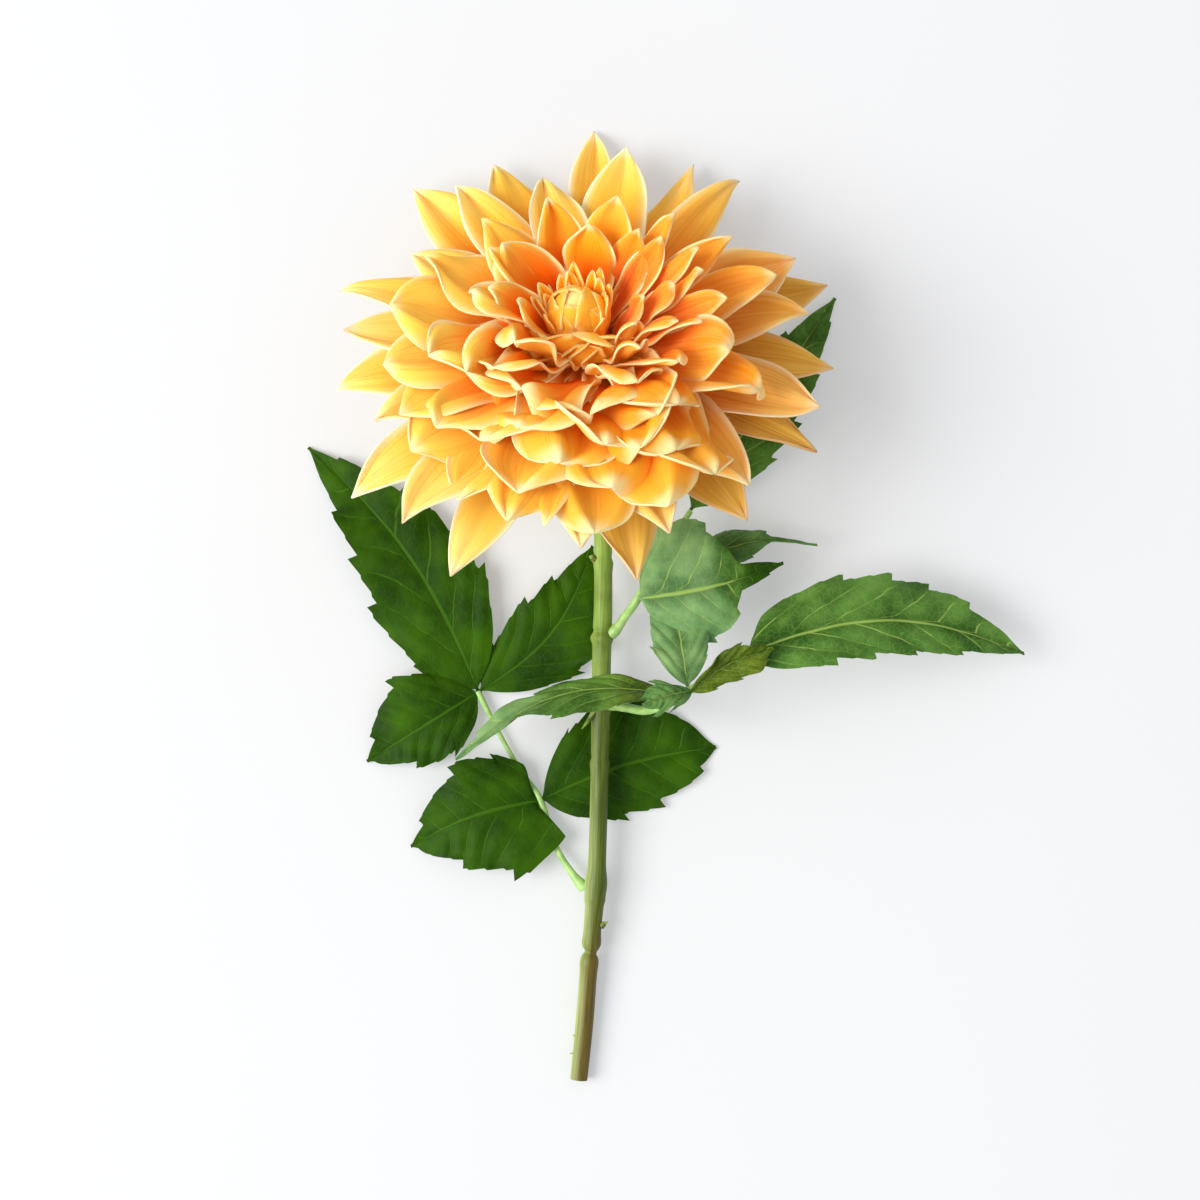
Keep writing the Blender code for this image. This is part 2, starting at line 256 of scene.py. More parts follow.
def petal_line(petal, along):
    """Radius, height and heading of the petal's middle line, at each place along it."""
    fine = np.linspace(0, 1, LINE_STEPS)
    bend = petal.usual(BEND) + petal.bend - petal.tip_bend * 0.5
    heading = math.radians(bend) * (fine - 0.5)
    heading = heading + math.radians(petal.tip_bend) * smoothstep(0.66, 1.0, fine)
    heading = heading + math.radians(petal.lip) * smoothstep(0.86, 1.0, fine)
    radius = np.cumsum(np.sin(heading)) - math.sin(heading[0])
    height = np.cumsum(np.cos(heading)) - math.cos(heading[0])
    foot_radius = petal.usual(FOOT_RADIUS) + petal.foot_out
    foot_height = petal.usual(FOOT_HEIGHT) - petal.foot_down
    reach = math.radians(petal.polar)
    out = petal.length * math.sin(reach) - foot_radius
    up = petal.length * math.cos(reach) - foot_height
    turn = math.atan2(out, up) - math.atan2(radius[-1], height[-1])
    size = math.hypot(out, up) / math.hypot(radius[-1], height[-1])
    line = (
        foot_radius + size * (radius * math.cos(turn) + height * math.sin(turn)),
        foot_height + size * (height * math.cos(turn) - radius * math.sin(turn)),
        heading + turn,
    )
    return [np.interp(along[:, 0], fine, values)[:, None] for values in line]


def petal_outline(petal, along):
    """Half-width along the petal, as a part of the widest."""
    rise = np.sin(np.pi / 2 * np.clip(along / petal.widest, 0, 1)) ** 0.85
    rise = petal.claw + (1 - petal.claw) * rise
    past = np.clip((along - petal.widest) / (1 - petal.widest), 0, 1)
    tip = (1 - past**petal.point) * (1 - 0.22 * past**3)
    return np.maximum(np.where(along < petal.widest, rise, tip), 0.02)


def petal_relief(petal, along, side, phases, turns):
    """Height of the rim's waves, the grooves and the folds. All of them fade in a thin tip."""
    edge = np.abs(side)
    scale = petal.usual(WIDTH) * petal.width / RELIEF_WIDTH
    narrow = np.clip(petal_outline(petal, along) / 0.4, 0, 1)
    left = np.sin(2 * np.pi * turns[0] * along + phases[0])
    right = np.sin(2 * np.pi * turns[1] * along + phases[1])
    swing = np.where(side < 0, left, right) * edge**2.5 * smoothstep(0.2, 0.55, along)
    grooves = np.cos(side * np.pi * 2.5 + phases[0] * 0.1) * (1 - edge**4)
    grooves = grooves * smoothstep(0.05, 0.35, along) * (1 - 0.5 * along)
    folds = np.sin(side * np.pi * 1.35 + phases[2]) + 0.5 * np.sin(side * 7.5 + phases[3])
    folds = folds * smoothstep(0.35, 0.95, along)
    height = (petal.wave * swing + petal.ruffle * folds) * scale - GROOVE_DEPTH * grooves
    return height * narrow


def petal_section(petal, along, side, phases, turns):
    """How far across the petal and how far up from its middle line each point is."""
    left = np.sin(5 * turns[2] * along + phases[2])
    right = np.sin(5 * turns[3] * along + phases[3])
    uneven = UNEVEN_RIM * np.where(side < 0, left, right) * smoothstep(0.2, 0.5, along)
    widest = petal.usual(WIDTH) * petal.width / 2
    half = widest * petal_outline(petal, along) * (1 + uneven)
    cup = petal.usual(CUP) + petal.cup
    cups = np.radians([FOOT_CUP, cup, cup, petal.tip_cup])
    curl = np.interp(along, [0, 0.4, 0.75, 1], cups)
    across = half / curl * np.sin(side * curl)
    lift = half / curl * (1 - np.cos(side * curl))
    flared = petal.flare * half * smoothstep(0.62, 1.0, np.abs(side))
    across = across + np.sign(side) * flared * 0.35
    lift = lift - flared * smoothstep(0.15, 0.6, along) * (0.6 + 0.8 * along)
    lift = lift + petal_relief(petal, along, side, phases, turns)
    return turned(across, lift, math.radians(petal.twist) * smoothstep(0.05, 1.0, along))


def petal_thickness(edge, along):
    """The full thickness, rounded off to the rim and to the tip."""
    rim = 1 - np.clip((edge - 0.93) / 0.07, 0, 1) ** 2
    tip = 1 - np.clip((along - 0.975) / 0.025, 0, 1) ** 2
    return PETAL_THICKNESS * np.sqrt(np.clip(rim, 0.1, 1)) * np.sqrt(np.clip(tip, 0.1, 1))


def petal_shell(rng, petal, matrix=HEAD_MATRIX):
    """The closed shell of one petal."""
    along = (1 - (1 - np.linspace(0, 1, PETAL_ROWS)) ** TIP_CROWDING)[:, None]
    side = crowded(PETAL_COLUMNS, 0.93)
    phases = rng.uniform(0, 2 * np.pi, 4)
    turns = rng.uniform(0.9, 1.9, 4)
    across, lift = petal_section(petal, along, side, phases, turns)
    across = across + petal.bow * along**2
    radius, height, heading = petal_line(petal, along)
    out = radius - lift * np.cos(heading)
    up = height + lift * np.sin(heading)
    spin = math.radians(petal.azimuth)
    x = out * math.cos(spin) - across * math.sin(spin)
    y = out * math.sin(spin) + across * math.cos(spin)
    points = in_world(np.stack(np.broadcast_arrays(x, y, up), axis=2), matrix)
    uv = np.stack(np.broadcast_arrays((side + 1) / 2, along), axis=2)
    marks = {mark: getattr(petal, mark) for mark in ("olive", "painted_shade_tan", "fresh", "deep_orange_and_shade")}
    marks["tone"] = rng.uniform(-1, 1)
    return shell(points, petal_thickness(np.abs(side), along), uv, marks)


# Outer petals: azimuth (+Y is 90), length, width (part of the usual one), twist, bend of the
# tip, and how olive the petal is: partly its own colour, partly painted shade on the shaded right.
OUTER_PETALS = [
    (18, 84, 1.0, 14, -5, 0.9), (62, 82, 0.75, -44, -14, 0.3), (88, 87, 0.72, 10, -10, 0.1),
    (112, 80, 0.95, 12, 0, 0.1), (134, 87, 1.1, -6, 15, 0.0), (163, 86, 0.9, 14, 20, 0.0),
    (188, 84, 0.9, -10, 10, 0.0), (213, 93, 1.0, 8, 12, 0.0), (243, 92, 0.8, -10, 15, 0.15),
    (283, 84, 1.0, -14, -10, 0.75), (311, 80, 0.85, 14, 10, 0.9), (334, 83, 0.85, -8, 6, 1.0),
    (356, 81, 0.85, 10, 5, 0.85),
]  # fmt: skip
SECOND_PETALS = [
    (4, 74, 0.9, -10, 8, 0.35), (22, 76, 0.95, 22, -18, 0.0), (50, 80, 0.62, 48, 20, 0.25),
    (78, 77, 0.95, -8, -10, 0.0), (102, 66, 0.8, 6, 0, 0.1), (126, 75, 0.9, 8, 5, 0.0),
    (152, 68, 0.9, -8, 6, 0.0), (181, 81, 0.95, 8, -10, 0.0), (207, 77, 0.9, -10, 0, 0.0),
    (232, 94, 0.95, 8, 16, 0.05), (268, 81, 1.0, 6, -14, 0.0), (290, 80, 1.0, 10, 6, 0.4),
    (312, 78, 1.0, -10, 6, 0.15), (338, 81, 1.1, 8, -4, 0.2),
]  # fmt: skip


def painted_shade_amount(azimuth):
    """Painted shade: the right of the flower, away from the lamp, is painted more orange than the
    left.
    """
    return max(0.0, math.cos(math.radians(azimuth + 8))) ** 1.5


def painted_light_amount(azimuth):
    """Painted light: how much yellower and paler a petal's colour is, most at the lower left of the
    flower, the side towards the lamp.
    """
    return max(0.0, math.cos(math.radians(azimuth - 196)))


def outer_petal(rng, name, node, row, polar, droop, material):
    """One petal of a row of the tables above, on the body as its own piece."""
    azimuth, length, width, twist, tip_bend, olive = row
    down = polar - droop * math.sin(math.radians(azimuth))
    petal = Petal(
        azimuth, down, length, width=width, bend=rng.uniform(-8, 8),
        cup=rng.uniform(-12, 8), tip_cup=rng.uniform(50, 85), flare=rng.uniform(0.1, 0.3),
        wave=rng.uniform(0.7, 1.8), ruffle=rng.uniform(0.4, 1.3), twist=twist,
        bow=rng.uniform(-3, 3), tip_bend=tip_bend, lip=rng.uniform(-10, 30),
        point=rng.uniform(1.9, 2.8), olive=olive, painted_shade_tan=0.9 * painted_shade_amount(azimuth) * (1 - olive),
        fresh=painted_light_amount(azimuth),
    )  # fmt: skip
    piece = mesh_object(name, [petal_shell(rng, petal)], material, sharp=180)
    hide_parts(node)


OUTER_WHORLS = [
    # names of the pieces and of the nodes that they stand for, petals, usual polar angle, and
    # how much less or more it is at the top and at the foot of the head
    ("ray_petal_a", "outer_petal_", OUTER_PETALS, 90, 10),
    ("ray_petal_b", "second_petal_", SECOND_PETALS, 81, 7),
]


def build_outer_petals(material):
    rng = np.random.RandomState(7)
    for name, node, rows, polar, droop in OUTER_WHORLS:
        for number, row in enumerate(rows, 1):
            order = f"{number:02d}"
            outer_petal(rng, name + order, node + order, row, polar, droop, material)


# Inner petals: where each tip is seen from above, right of and up from the head's centre, then
# width (part of the usual one), twist, bend of the tip, and how blunt the tip is (0 pointed,
# 1 broad).
PETALS_C = [
    (-13.9, 51.8, 1.0, 8, 0, 0), (-36, 44, 0.9, -6, 10, 0), (-53.8, 32.7, 1.1, 14, -12, 0.2),
    (-65.3, 15.2, 1.1, -6, -14, 0.8), (-68, -2, 1.2, 6, -14, 0.8), (-62, -20, 1.1, 12, 0, 0.5),
    (-57, -33, 0.95, -10, 6, 0.6), (-43, -48, 1.0, 12, 0, 0.5), (-27, -55, 1.0, -14, 8, 0.5),
    (-13, -57, 0.6, 20, 6, 0.3), (1, -59, 1.05, -4, -6, 0.9), (27, -50, 1.1, 12, 0, 0.8),
    (41, -40, 1.25, -20, -8, 1.0), (56, -13, 1.15, -18, -8, 1.0), (62, 27, 0.95, -16, -4, 0.5),
    (47, 40, 0.5, 40, 14, 0.1), (30, 46, 0.6, -30, 10, 0.1), (10.6, 52.1, 0.95, -6, 0, 0.2),
]  # fmt: skip
PETALS_D = [
    (-32.3, 36, 0.8, 10, 0, 0.2), (1.6, 43, 1.05, -4, -6, 0.2), (18, 41, 0.95, 8, 6, 0),
    (36.3, 36, 0.5, -24, 6, 0.4), (-52.8, 0, 1.2, 10, -16, 0.9), (-49, -25, 1.25, 12, -10, 0.7),
    (-22, -46, 1.35, 8, 6, 0.7), (8, -44, 1.4, -14, 0, 0.9), (28, -32, 1.3, -12, 0, 1.0),
    (46, 0, 1.0, 22, -6, 1.0), (46, 19, 0.55, 30, 6, 0.7),
]  # fmt: skip
PETALS_E = [
    (-27.4, 38, 1.1, -12, -8, 0.2), (25.4, 38, 0.7, 30, 0, 0.1), (38.3, 27, 0.55, -26, 0, 0.7),
    (-38.3, 22, 0.85, 24, 0, 1.0), (-40, -6, 1.2, -18, 4, 0.8), (-34, -29, 1.4, 18, -6, 0.7),
    (-8, -36, 1.55, -12, -6, 0.9), (17, -31, 1.35, 18, 0, 0.8), (31, -16, 1.25, -26, 6, 0.9),
    (38, 11, 0.55, -26, 14, 0.7),
]  # fmt: skip
PETALS_F = [
    (-33, 22.5, 0.85, -30, 0, 0.1), (28.7, 21.8, 0.6, 20, 0, 0.6), (30, 11, 0.55, -20, 20, 0.4),
    (-31.7, -3.9, 1.2, 14, -6, 0.8), (-23, -24, 1.55, 18, -6, 0.8), (4, -30, 1.6, -14, 8, 0.9),
    (23, -20, 1.25, 16, 8, 0.8), (29, -3, 0.8, -18, 10, 0.7),
]  # fmt: skip
PETALS_G = [
    (-25.1, 5, 1.1, 14, -6, 0.8), (-20, -12, 1.5, -12, -6, 0.9), (1, -20, 1.6, 12, 6, 0.9),
    (17, -9, 1.05, -16, 10, 0.7), (19, 3, 0.7, -20, 14, 0.4), (19, 20, 0.7, 20, 8, 0.1),
    (17, 11, 0.6, -20, 16, 0.3), (-23, 17, 0.75, -16, 0, 0.2),
]  # fmt: skip
THIRD_NODES = [f"third_petal_{number:02d}" for number in range(1, 10)]
INNER_WHORLS = [
    # name, petals, nodes that they stand for, how olive, how far out the deep orange reaches
    # (partly own colour, partly painted shade deep in the head), and how much further out the feet
    # are in front of the bud, where the petals stand upright
    ("petals_c", PETALS_C, THIRD_NODES[:5], 0.12, 0.03, 0),
    ("petals_d", PETALS_D, THIRD_NODES[5:], 0.06, 0.1, 0),
    ("petals_e", PETALS_E, ["petal_whorl_4"], 0.0, 0.19, 1.5),
    ("petals_f", PETALS_F, ["petal_whorl_5"], 0.0, 0.24, 3.5),
    ("petals_g", PETALS_G, ["petal_whorl_6"], 0.0, 0.27, 5.0),
]


def tip_on_dome(right, up):
    """Azimuth, polar angle and length of the petal whose tip is seen at this place from above.

    The tips lie on a dome, where the length of a petal depends on its polar angle. right and
    up are measured on the level of the head's centre, as the camera sees them.
    """
    unturned = HEAD_MATRIX.to_3x3().inverted()
    low, high = -60.0, 100.0
    for _ in range(40):
        rise = (low + high) / 2
        nearer = 1 - rise * MM / CAMERA_DISTANCE
        x = CAMERA_PLACE[0] + (right - CAMERA_PLACE[0]) * nearer
        y = CAMERA_PLACE[1] + (up - CAMERA_PLACE[1]) * nearer
        tip = unturned @ Vector((x, y, rise))
        polar = math.degrees(math.atan2(math.hypot(tip.x, tip.y), tip.z))
        if tip.length > np.interp(polar, POLAR, LENGTH):
            high = rise
        else:
            low = rise
    return math.degrees(math.atan2(tip.y, tip.x)), polar, tip.length


def inner_petal(rng, row, olive, deep_orange_and_shade, front_out):
    """The shell of one petal of a row of the inner tables."""
    right, up, width, twist, tip_bend, blunt = row
    azimuth, polar, length = tip_on_dome(right, up)
    out = front_out * max(0.0, -math.sin(math.radians(azimuth)))
    petal = Petal(
        azimuth, polar, length, width=width, bend=rng.uniform(-8, 8),
        cup=rng.uniform(-10, 10), tip_cup=rng.uniform(50, 82) * (1 - 0.5 * blunt),
        flare=rng.uniform(0.2, 0.5), wave=rng.uniform(1.2, 2.6) + 0.8 * blunt,
        ruffle=rng.uniform(0.4, 1.2) + 0.6 * blunt, lip=rng.uniform(0, 35),
        twist=twist * (1.5 if up < 0 else 1), bow=rng.uniform(-2, 2),
        tip_bend=tip_bend + rng.uniform(-8, 8), claw=0.38, foot_out=out, foot_down=0.6 * out,
        point=2.0 + 3.5 * blunt, widest=0.56 + 0.08 * blunt, olive=olive,
        painted_shade_tan=0.45 * painted_shade_amount(azimuth), fresh=painted_light_amount(azimuth), deep_orange_and_shade=deep_orange_and_shade,
    )  # fmt: skip
    return petal_shell(rng, petal)


def build_inner_petals(material):
    rng = np.random.RandomState(23)
    for name, rows, nodes, olive, deep_orange_and_shade, front_out in INNER_WHORLS:
        shells = [inner_petal(rng, row, olive, deep_orange_and_shade, front_out) for row in rows]
        piece = mesh_object(name, shells, material, sharp=180)
        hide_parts(*nodes)


BUD_LEAN = math.radians(9)  # the closed centre leans this much to the left of the head's axis
BUD_MATRIX = HEAD_MATRIX @ Matrix.Rotation(-BUD_LEAN, 4, "Y")
BUD_WHORLS = [
    # petals, polar angle, length, width, bend, how far the rim turns out, how much wider the
    # ring of feet is, the first azimuth, the angle that the whorl covers, how blunt, how uneven
    (15, 22, 32.5, 0.42, -16, 0.1, 0.8, -35, 260, 2.0, 2.4),
    (1, 26, 32, 1.9, -74, 0.5, 3.0, 262, 0, 5.5, 1.0),
    (2, 32, 32, 1.2, -62, 0.4, 3.2, 218, 150, 4.0, 1.0),
    (1, 33, 30, 1.0, -92, 0.4, 4.0, 272, 0, 4.5, 0.5),
    (2, 38, 29, 1.2, -86, 0.4, 4.2, 240, 124, 4.5, 0.8),
    (4, 12, 29, 1.7, -72, 0.0, 1.6, 20, 360, 5.0, 1.0),
    (4, 5, 30.8, 1.9, -86, 0.0, 1.5, 75, 360, 5.0, 1.0),
]
CORE_LOWEST, CORE_HIGHEST, CORE_RADIUS = 8.7, 30.0, 8.9


def bud_whorl(rng, row):
    """The shells of one ring, or part of a ring, of the bud's petals."""
    count, polar, length, width, bend, flare, out, first, cover, point, loose = row
    shells = []
    for index in range(count):
        azimuth = first + cover * index / count + rng.uniform(-6, 6) * loose
        petal = Petal(
            azimuth, polar + rng.uniform(-1.6, 1.6) * loose,
            length + rng.uniform(-1, 1) * loose, width=width,
            bend=bend - np.interp(polar, POLAR, BEND) + rng.uniform(-6, 6), tip_cup=36,
            flare=flare, wave=0.15 + 2.2 * flare, ruffle=0.1 + 1.6 * flare,
            twist=rng.uniform(-9, 9) * loose, claw=0.5, point=point, widest=0.6, foot_out=out,
        )  # fmt: skip
        shells.append(petal_shell(rng, petal, BUD_MATRIX))
    return shells


def build_bud(material):
    """The closed centre: small broad petals that fold over a core."""
    rng = np.random.RandomState(5)
    shells = [part for row in BUD_WHORLS for part in bud_whorl(rng, row)]
    piece = mesh_object("centre_petals", [*shells, bud_core()], material, sharp=180)
    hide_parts("centre_bud")


def turned_shell(profile, matrix, columns=32):
    """A closed solid turned round the axis of matrix, from a list of (radius, height).

    Its first and last points lie on the axis.
    """
    angle = np.linspace(0, 2 * np.pi, columns, endpoint=False)
    rings = [
        np.stack([np.cos(angle) * radius, np.sin(angle) * radius, np.full(columns, height)], axis=1)
        for radius, height in profile[1:-1]
    ]
    ends = [[0, 0, profile[0][1]], [0, 0, profile[-1][1]]]
    local = np.concatenate([*rings, ends])
    part = (local[:, 2] - local[:, 2].min()) / np.ptp(local[:, 2])
    uv = np.stack([np.full(len(local), 0.5), part], axis=1)
    return in_world(local, matrix), ring_faces(len(rings), columns), uv, {}


def bud_core(steps=16):
    """The round body inside the centre petals."""
    centre, half = (CORE_LOWEST + CORE_HIGHEST) / 2, (CORE_HIGHEST - CORE_LOWEST) / 2
    angles = [math.pi * step / steps for step in range(steps + 1)]
    profile = [(CORE_RADIUS * math.sin(at), centre - half * math.cos(at)) for at in angles]
    return turned_shell(profile, BUD_MATRIX)


# The receptacle, as (radius, height along the head's axis)
RECEPTACLE = [
    (0, -11), (2.4, -11), (3.6, -10.8), (5.5, -9), (7.2, -7.2), (8.5, -5.5), (9.6, -3.7),
    (10.5, -2), (10.9, -0.4), (10.8, 1.2), (10.5, 2.8), (10.1, 4.4), (9.5, 6), (8.8, 7.6),
    (8, 9), (6.9, 10.2), (5.5, 11.3), (3.6, 12.1), (1.9, 12.5), (0, 12.6),
]  # fmt: skip


def build_receptacle(material):
    shape = turned_shell(RECEPTACLE, HEAD_MATRIX, 40)
    piece = mesh_object("fine_receptacle", [shape], material)
    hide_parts("receptacle")


# ---------------------------------------------------------------- leaves

LEAF_COLUMNS = 25
LEAF_ROWS = 81
LEAF_THICKNESS = 0.5 * MM
MIDRIB_THICKNESS = 0.8 * MM  # added at the base of the midrib
LEAF_NECK = 0.02  # part of a leaflet's length that is bare midrib
LEAST_HALF = 0.6  # least half-width
SIDE_VEINS = 6.2  # side veins along each half of a leaflet
VEIN_LEAN = 1.7  # how many veins further along a side vein reaches the edge
FINE_TEETH = 2.6  # fine teeth for each coarse one
SIDE_OFFSETS = (0.15, 0.6)  # where teeth and veins start in the left and the right half
# Leaf tones. PALE is blue-green: partly the leaves' own bloom, partly a painted sheen of reflected
# light.
DARK, MIDDLE, PALE = -0.6, 0.1, 0.8


@dataclass
class Leaflet:
    """One leaflet. Its halves are named as seen from its base to its tip."""

    base: tuple
    tip: tuple
    left: float  # width of the left half
    right: float  # width of the right half
    bow: float  # how far the midrib bends to the left
    rise: float  # how far the midrib arches
    teeth: int  # coarse teeth along each edge
    tone: float  # colour, from DARK to PALE
    tone_tip: float = None  # tone at the tip, where it is another
    shade: float = 0.3  # colour: up to 0.5 is fresh, and 1 is olive
    shade_tip: float = None  # shade at the tip, where it is another
    face: tuple = (0, 0, 1)  # the direction that the upper side faces
    fold: float = 0.12  # how steeply the halves rise from the midrib
    curl: float = 0.1  # how far the edges droop
    tooth: float = 0.18  # depth of a tooth, as a part of the half's width
    wave: float = 1.4  # height of the edge's waves
    quilt: float = 0.5  # height of the pillows between side veins
    start_roll: float = 0.0  # turn of the blade about its midrib at the base
    roll: float = 0.0  # and at the tip
    widest: float = 0.38  # how far along it is widest
    full: float = 0.5  # how soon the blade widens after its base, 0 at once
    point: float = 1.5  # how blunt the tip is
    tail: float = 0.0  # width of the narrow end of the blade, as a part of the widest
    back: tuple = (0, 0)  # how far each half reaches back past the base


def leaf_body(leaf, part):
    """Half-width of a simple blade along it, as a part of the widest."""
    rising = np.sin(np.pi / 2 * np.clip(part / leaf.widest, 0, 1)) ** leaf.full
    falling = 1 - np.clip((part - leaf.widest) / (1 - leaf.widest), 0, 1) ** leaf.point
    return np.where(part < leaf.widest, rising, falling)


def leaf_envelope(leaf, blade):
    """Half-width along the blade, as a part of the widest, with a narrow tail if it has one."""
    if not leaf.tail:
        return leaf_body(leaf, blade)
    tail = leaf.tail * smoothstep(0.3, 0.6, blade) * (1 - blade**2.5)
    return np.maximum(leaf_body(leaf, np.clip(blade / 0.7, 0, 1)), tail)


def saw(along, count, offset):
    """Saw teeth along an edge: 0 at the back of a tooth, rising to 1 at its point."""
    place_on_tooth = along * count + offset + 0.12 * np.sin(9 * along + offset * 5)
    return place_on_tooth - np.floor(place_on_tooth)


def leaf_outline(leaf, blade, side, envelope):
    """How far out from the midrib and how far forward each point is, with teeth at the edge."""
    edge = np.abs(side)
    half = np.where(side > 0, leaf.left, leaf.right)
    offset = np.where(side > 0, *SIDE_OFFSETS)
    toothed = smoothstep(0.08, 0.22, blade) * (1 - smoothstep(0.86, 0.97, blade)) * leaf.tooth
    coarse = saw(blade, leaf.teeth, offset)
    fine = saw(blade, leaf.teeth * FINE_TEETH, offset + 0.3)
    jag = (coarse**1.3 - 0.5) + 0.22 * (fine - 0.5)
    outward = 1 + toothed * smoothstep(0.55, 1.0, edge) * jag
    reach = half * side * np.maximum(envelope * outward, LEAST_HALF / half)
    forward = toothed * edge**4 * (coarse - 0.3) * 12
    forward = forward + edge**2 * envelope * 3 * (1 - smoothstep(0.6, 0.95, blade))
    backward = np.where(side > 0, *leaf.back) * (1 - np.clip(blade / 0.45, 0, 1)) ** 2
    return reach, forward - backward * edge * smoothstep(0, 0.06, blade)


def vein_flow(blade, side, envelope):
    """A number that grows by 1 from each side vein to the next."""
    wander = 0.16 * np.sin(7 * blade + 3 * side)
    lean = VEIN_LEAN * np.abs(side) * envelope
    return blade * SIDE_VEINS - lean + np.where(side > 0, *SIDE_OFFSETS) + wander


def leaf_relief(rng, leaf, along, side, reach, vein, envelope):
    """How far each point is above a flat blade."""
    edge = np.abs(side)
    phase = rng.uniform(0, 2 * np.pi, 4)
    left = np.sin(2 * np.pi * 1.7 * along + phase[0]) + 0.4 * np.sin(25 * along + phase[2])
    right = np.sin(2 * np.pi * 1.4 * along + phase[1]) + 0.4 * np.sin(23 * along + phase[3])
    ripple = np.where(side > 0, left, right) * edge**1.7 * smoothstep(0.0, 0.3, along)
    pillow = np.cos(2 * np.pi * vein) * edge * (1.12 - edge) * 2.2
    groove = 0.5 * np.exp(-((side / 0.07) ** 2))
    fine = (leaf.wave * ripple - leaf.quilt * pillow - groove) * envelope**0.5
    droop = leaf.curl * reach**2 / (0.5 * (leaf.left + leaf.right))
    return leaf.fold * np.abs(reach) - droop + fine


def leaf_points(leaf, along, reach, up, forward):
    """Points of the blade round a midrib that bows and arches between the base and the tip."""
    start = np.array(place(leaf.base))
    run = np.array(place(leaf.tip)) - start
    ahead = run / np.linalg.norm(run)
    sideways = np.cross(np.array(leaf.face, dtype=float), ahead)
    sideways /= np.linalg.norm(sideways)
    normal = np.cross(ahead, sideways)
    swell = np.sin(np.pi * along) * MM
    spine = start + run * along + sideways * swell * leaf.bow + normal * swell * leaf.rise
    offset = sideways * reach[..., None] + normal * up[..., None] + ahead * forward[..., None]
    return spine[:, None, :] + offset * MM


def changing(start, end, part):
    """A value that changes from start to end, or stays where there is no end."""
    return start if end is None else start + (end - start) * part


def leaf_shell(rng, leaf):
    """The closed shell of one leaflet."""
    along = np.linspace(0, 1, LEAF_ROWS)[:, None]
    side = crowded(LEAF_COLUMNS, 0.8)
    blade = np.clip((along - LEAF_NECK) / (1 - LEAF_NECK), 0, 1)
    envelope = leaf_envelope(leaf, blade)
    vein = vein_flow(blade, side, envelope)
    reach, forward = leaf_outline(leaf, blade, side, envelope)
    up = leaf_relief(rng, leaf, along, side, reach, vein, envelope)
    roll = math.radians(leaf.start_roll) * (1 - along) + math.radians(leaf.roll) * along
    reach, up = turned(reach, up, roll)
    points = leaf_points(leaf, along, reach, up, forward)
    thickness = LEAF_THICKNESS * (1 - 0.6 * smoothstep(0.85, 1.0, np.abs(side)))
    thickness = thickness + MIDRIB_THICKNESS * np.exp(-((side / 0.05) ** 2)) * (1 - along) ** 0.7
    uv = np.stack(np.broadcast_arrays((side + 1) / 2, blade), axis=2)
    marks = {
        "tone": changing(leaf.tone, leaf.tone_tip, smoothstep(0.4, 0.8, along)),
        "shade": changing(leaf.shade, leaf.shade_tip, along),
        "vein": vein,
    }
    return shell(points, thickness, uv, marks)


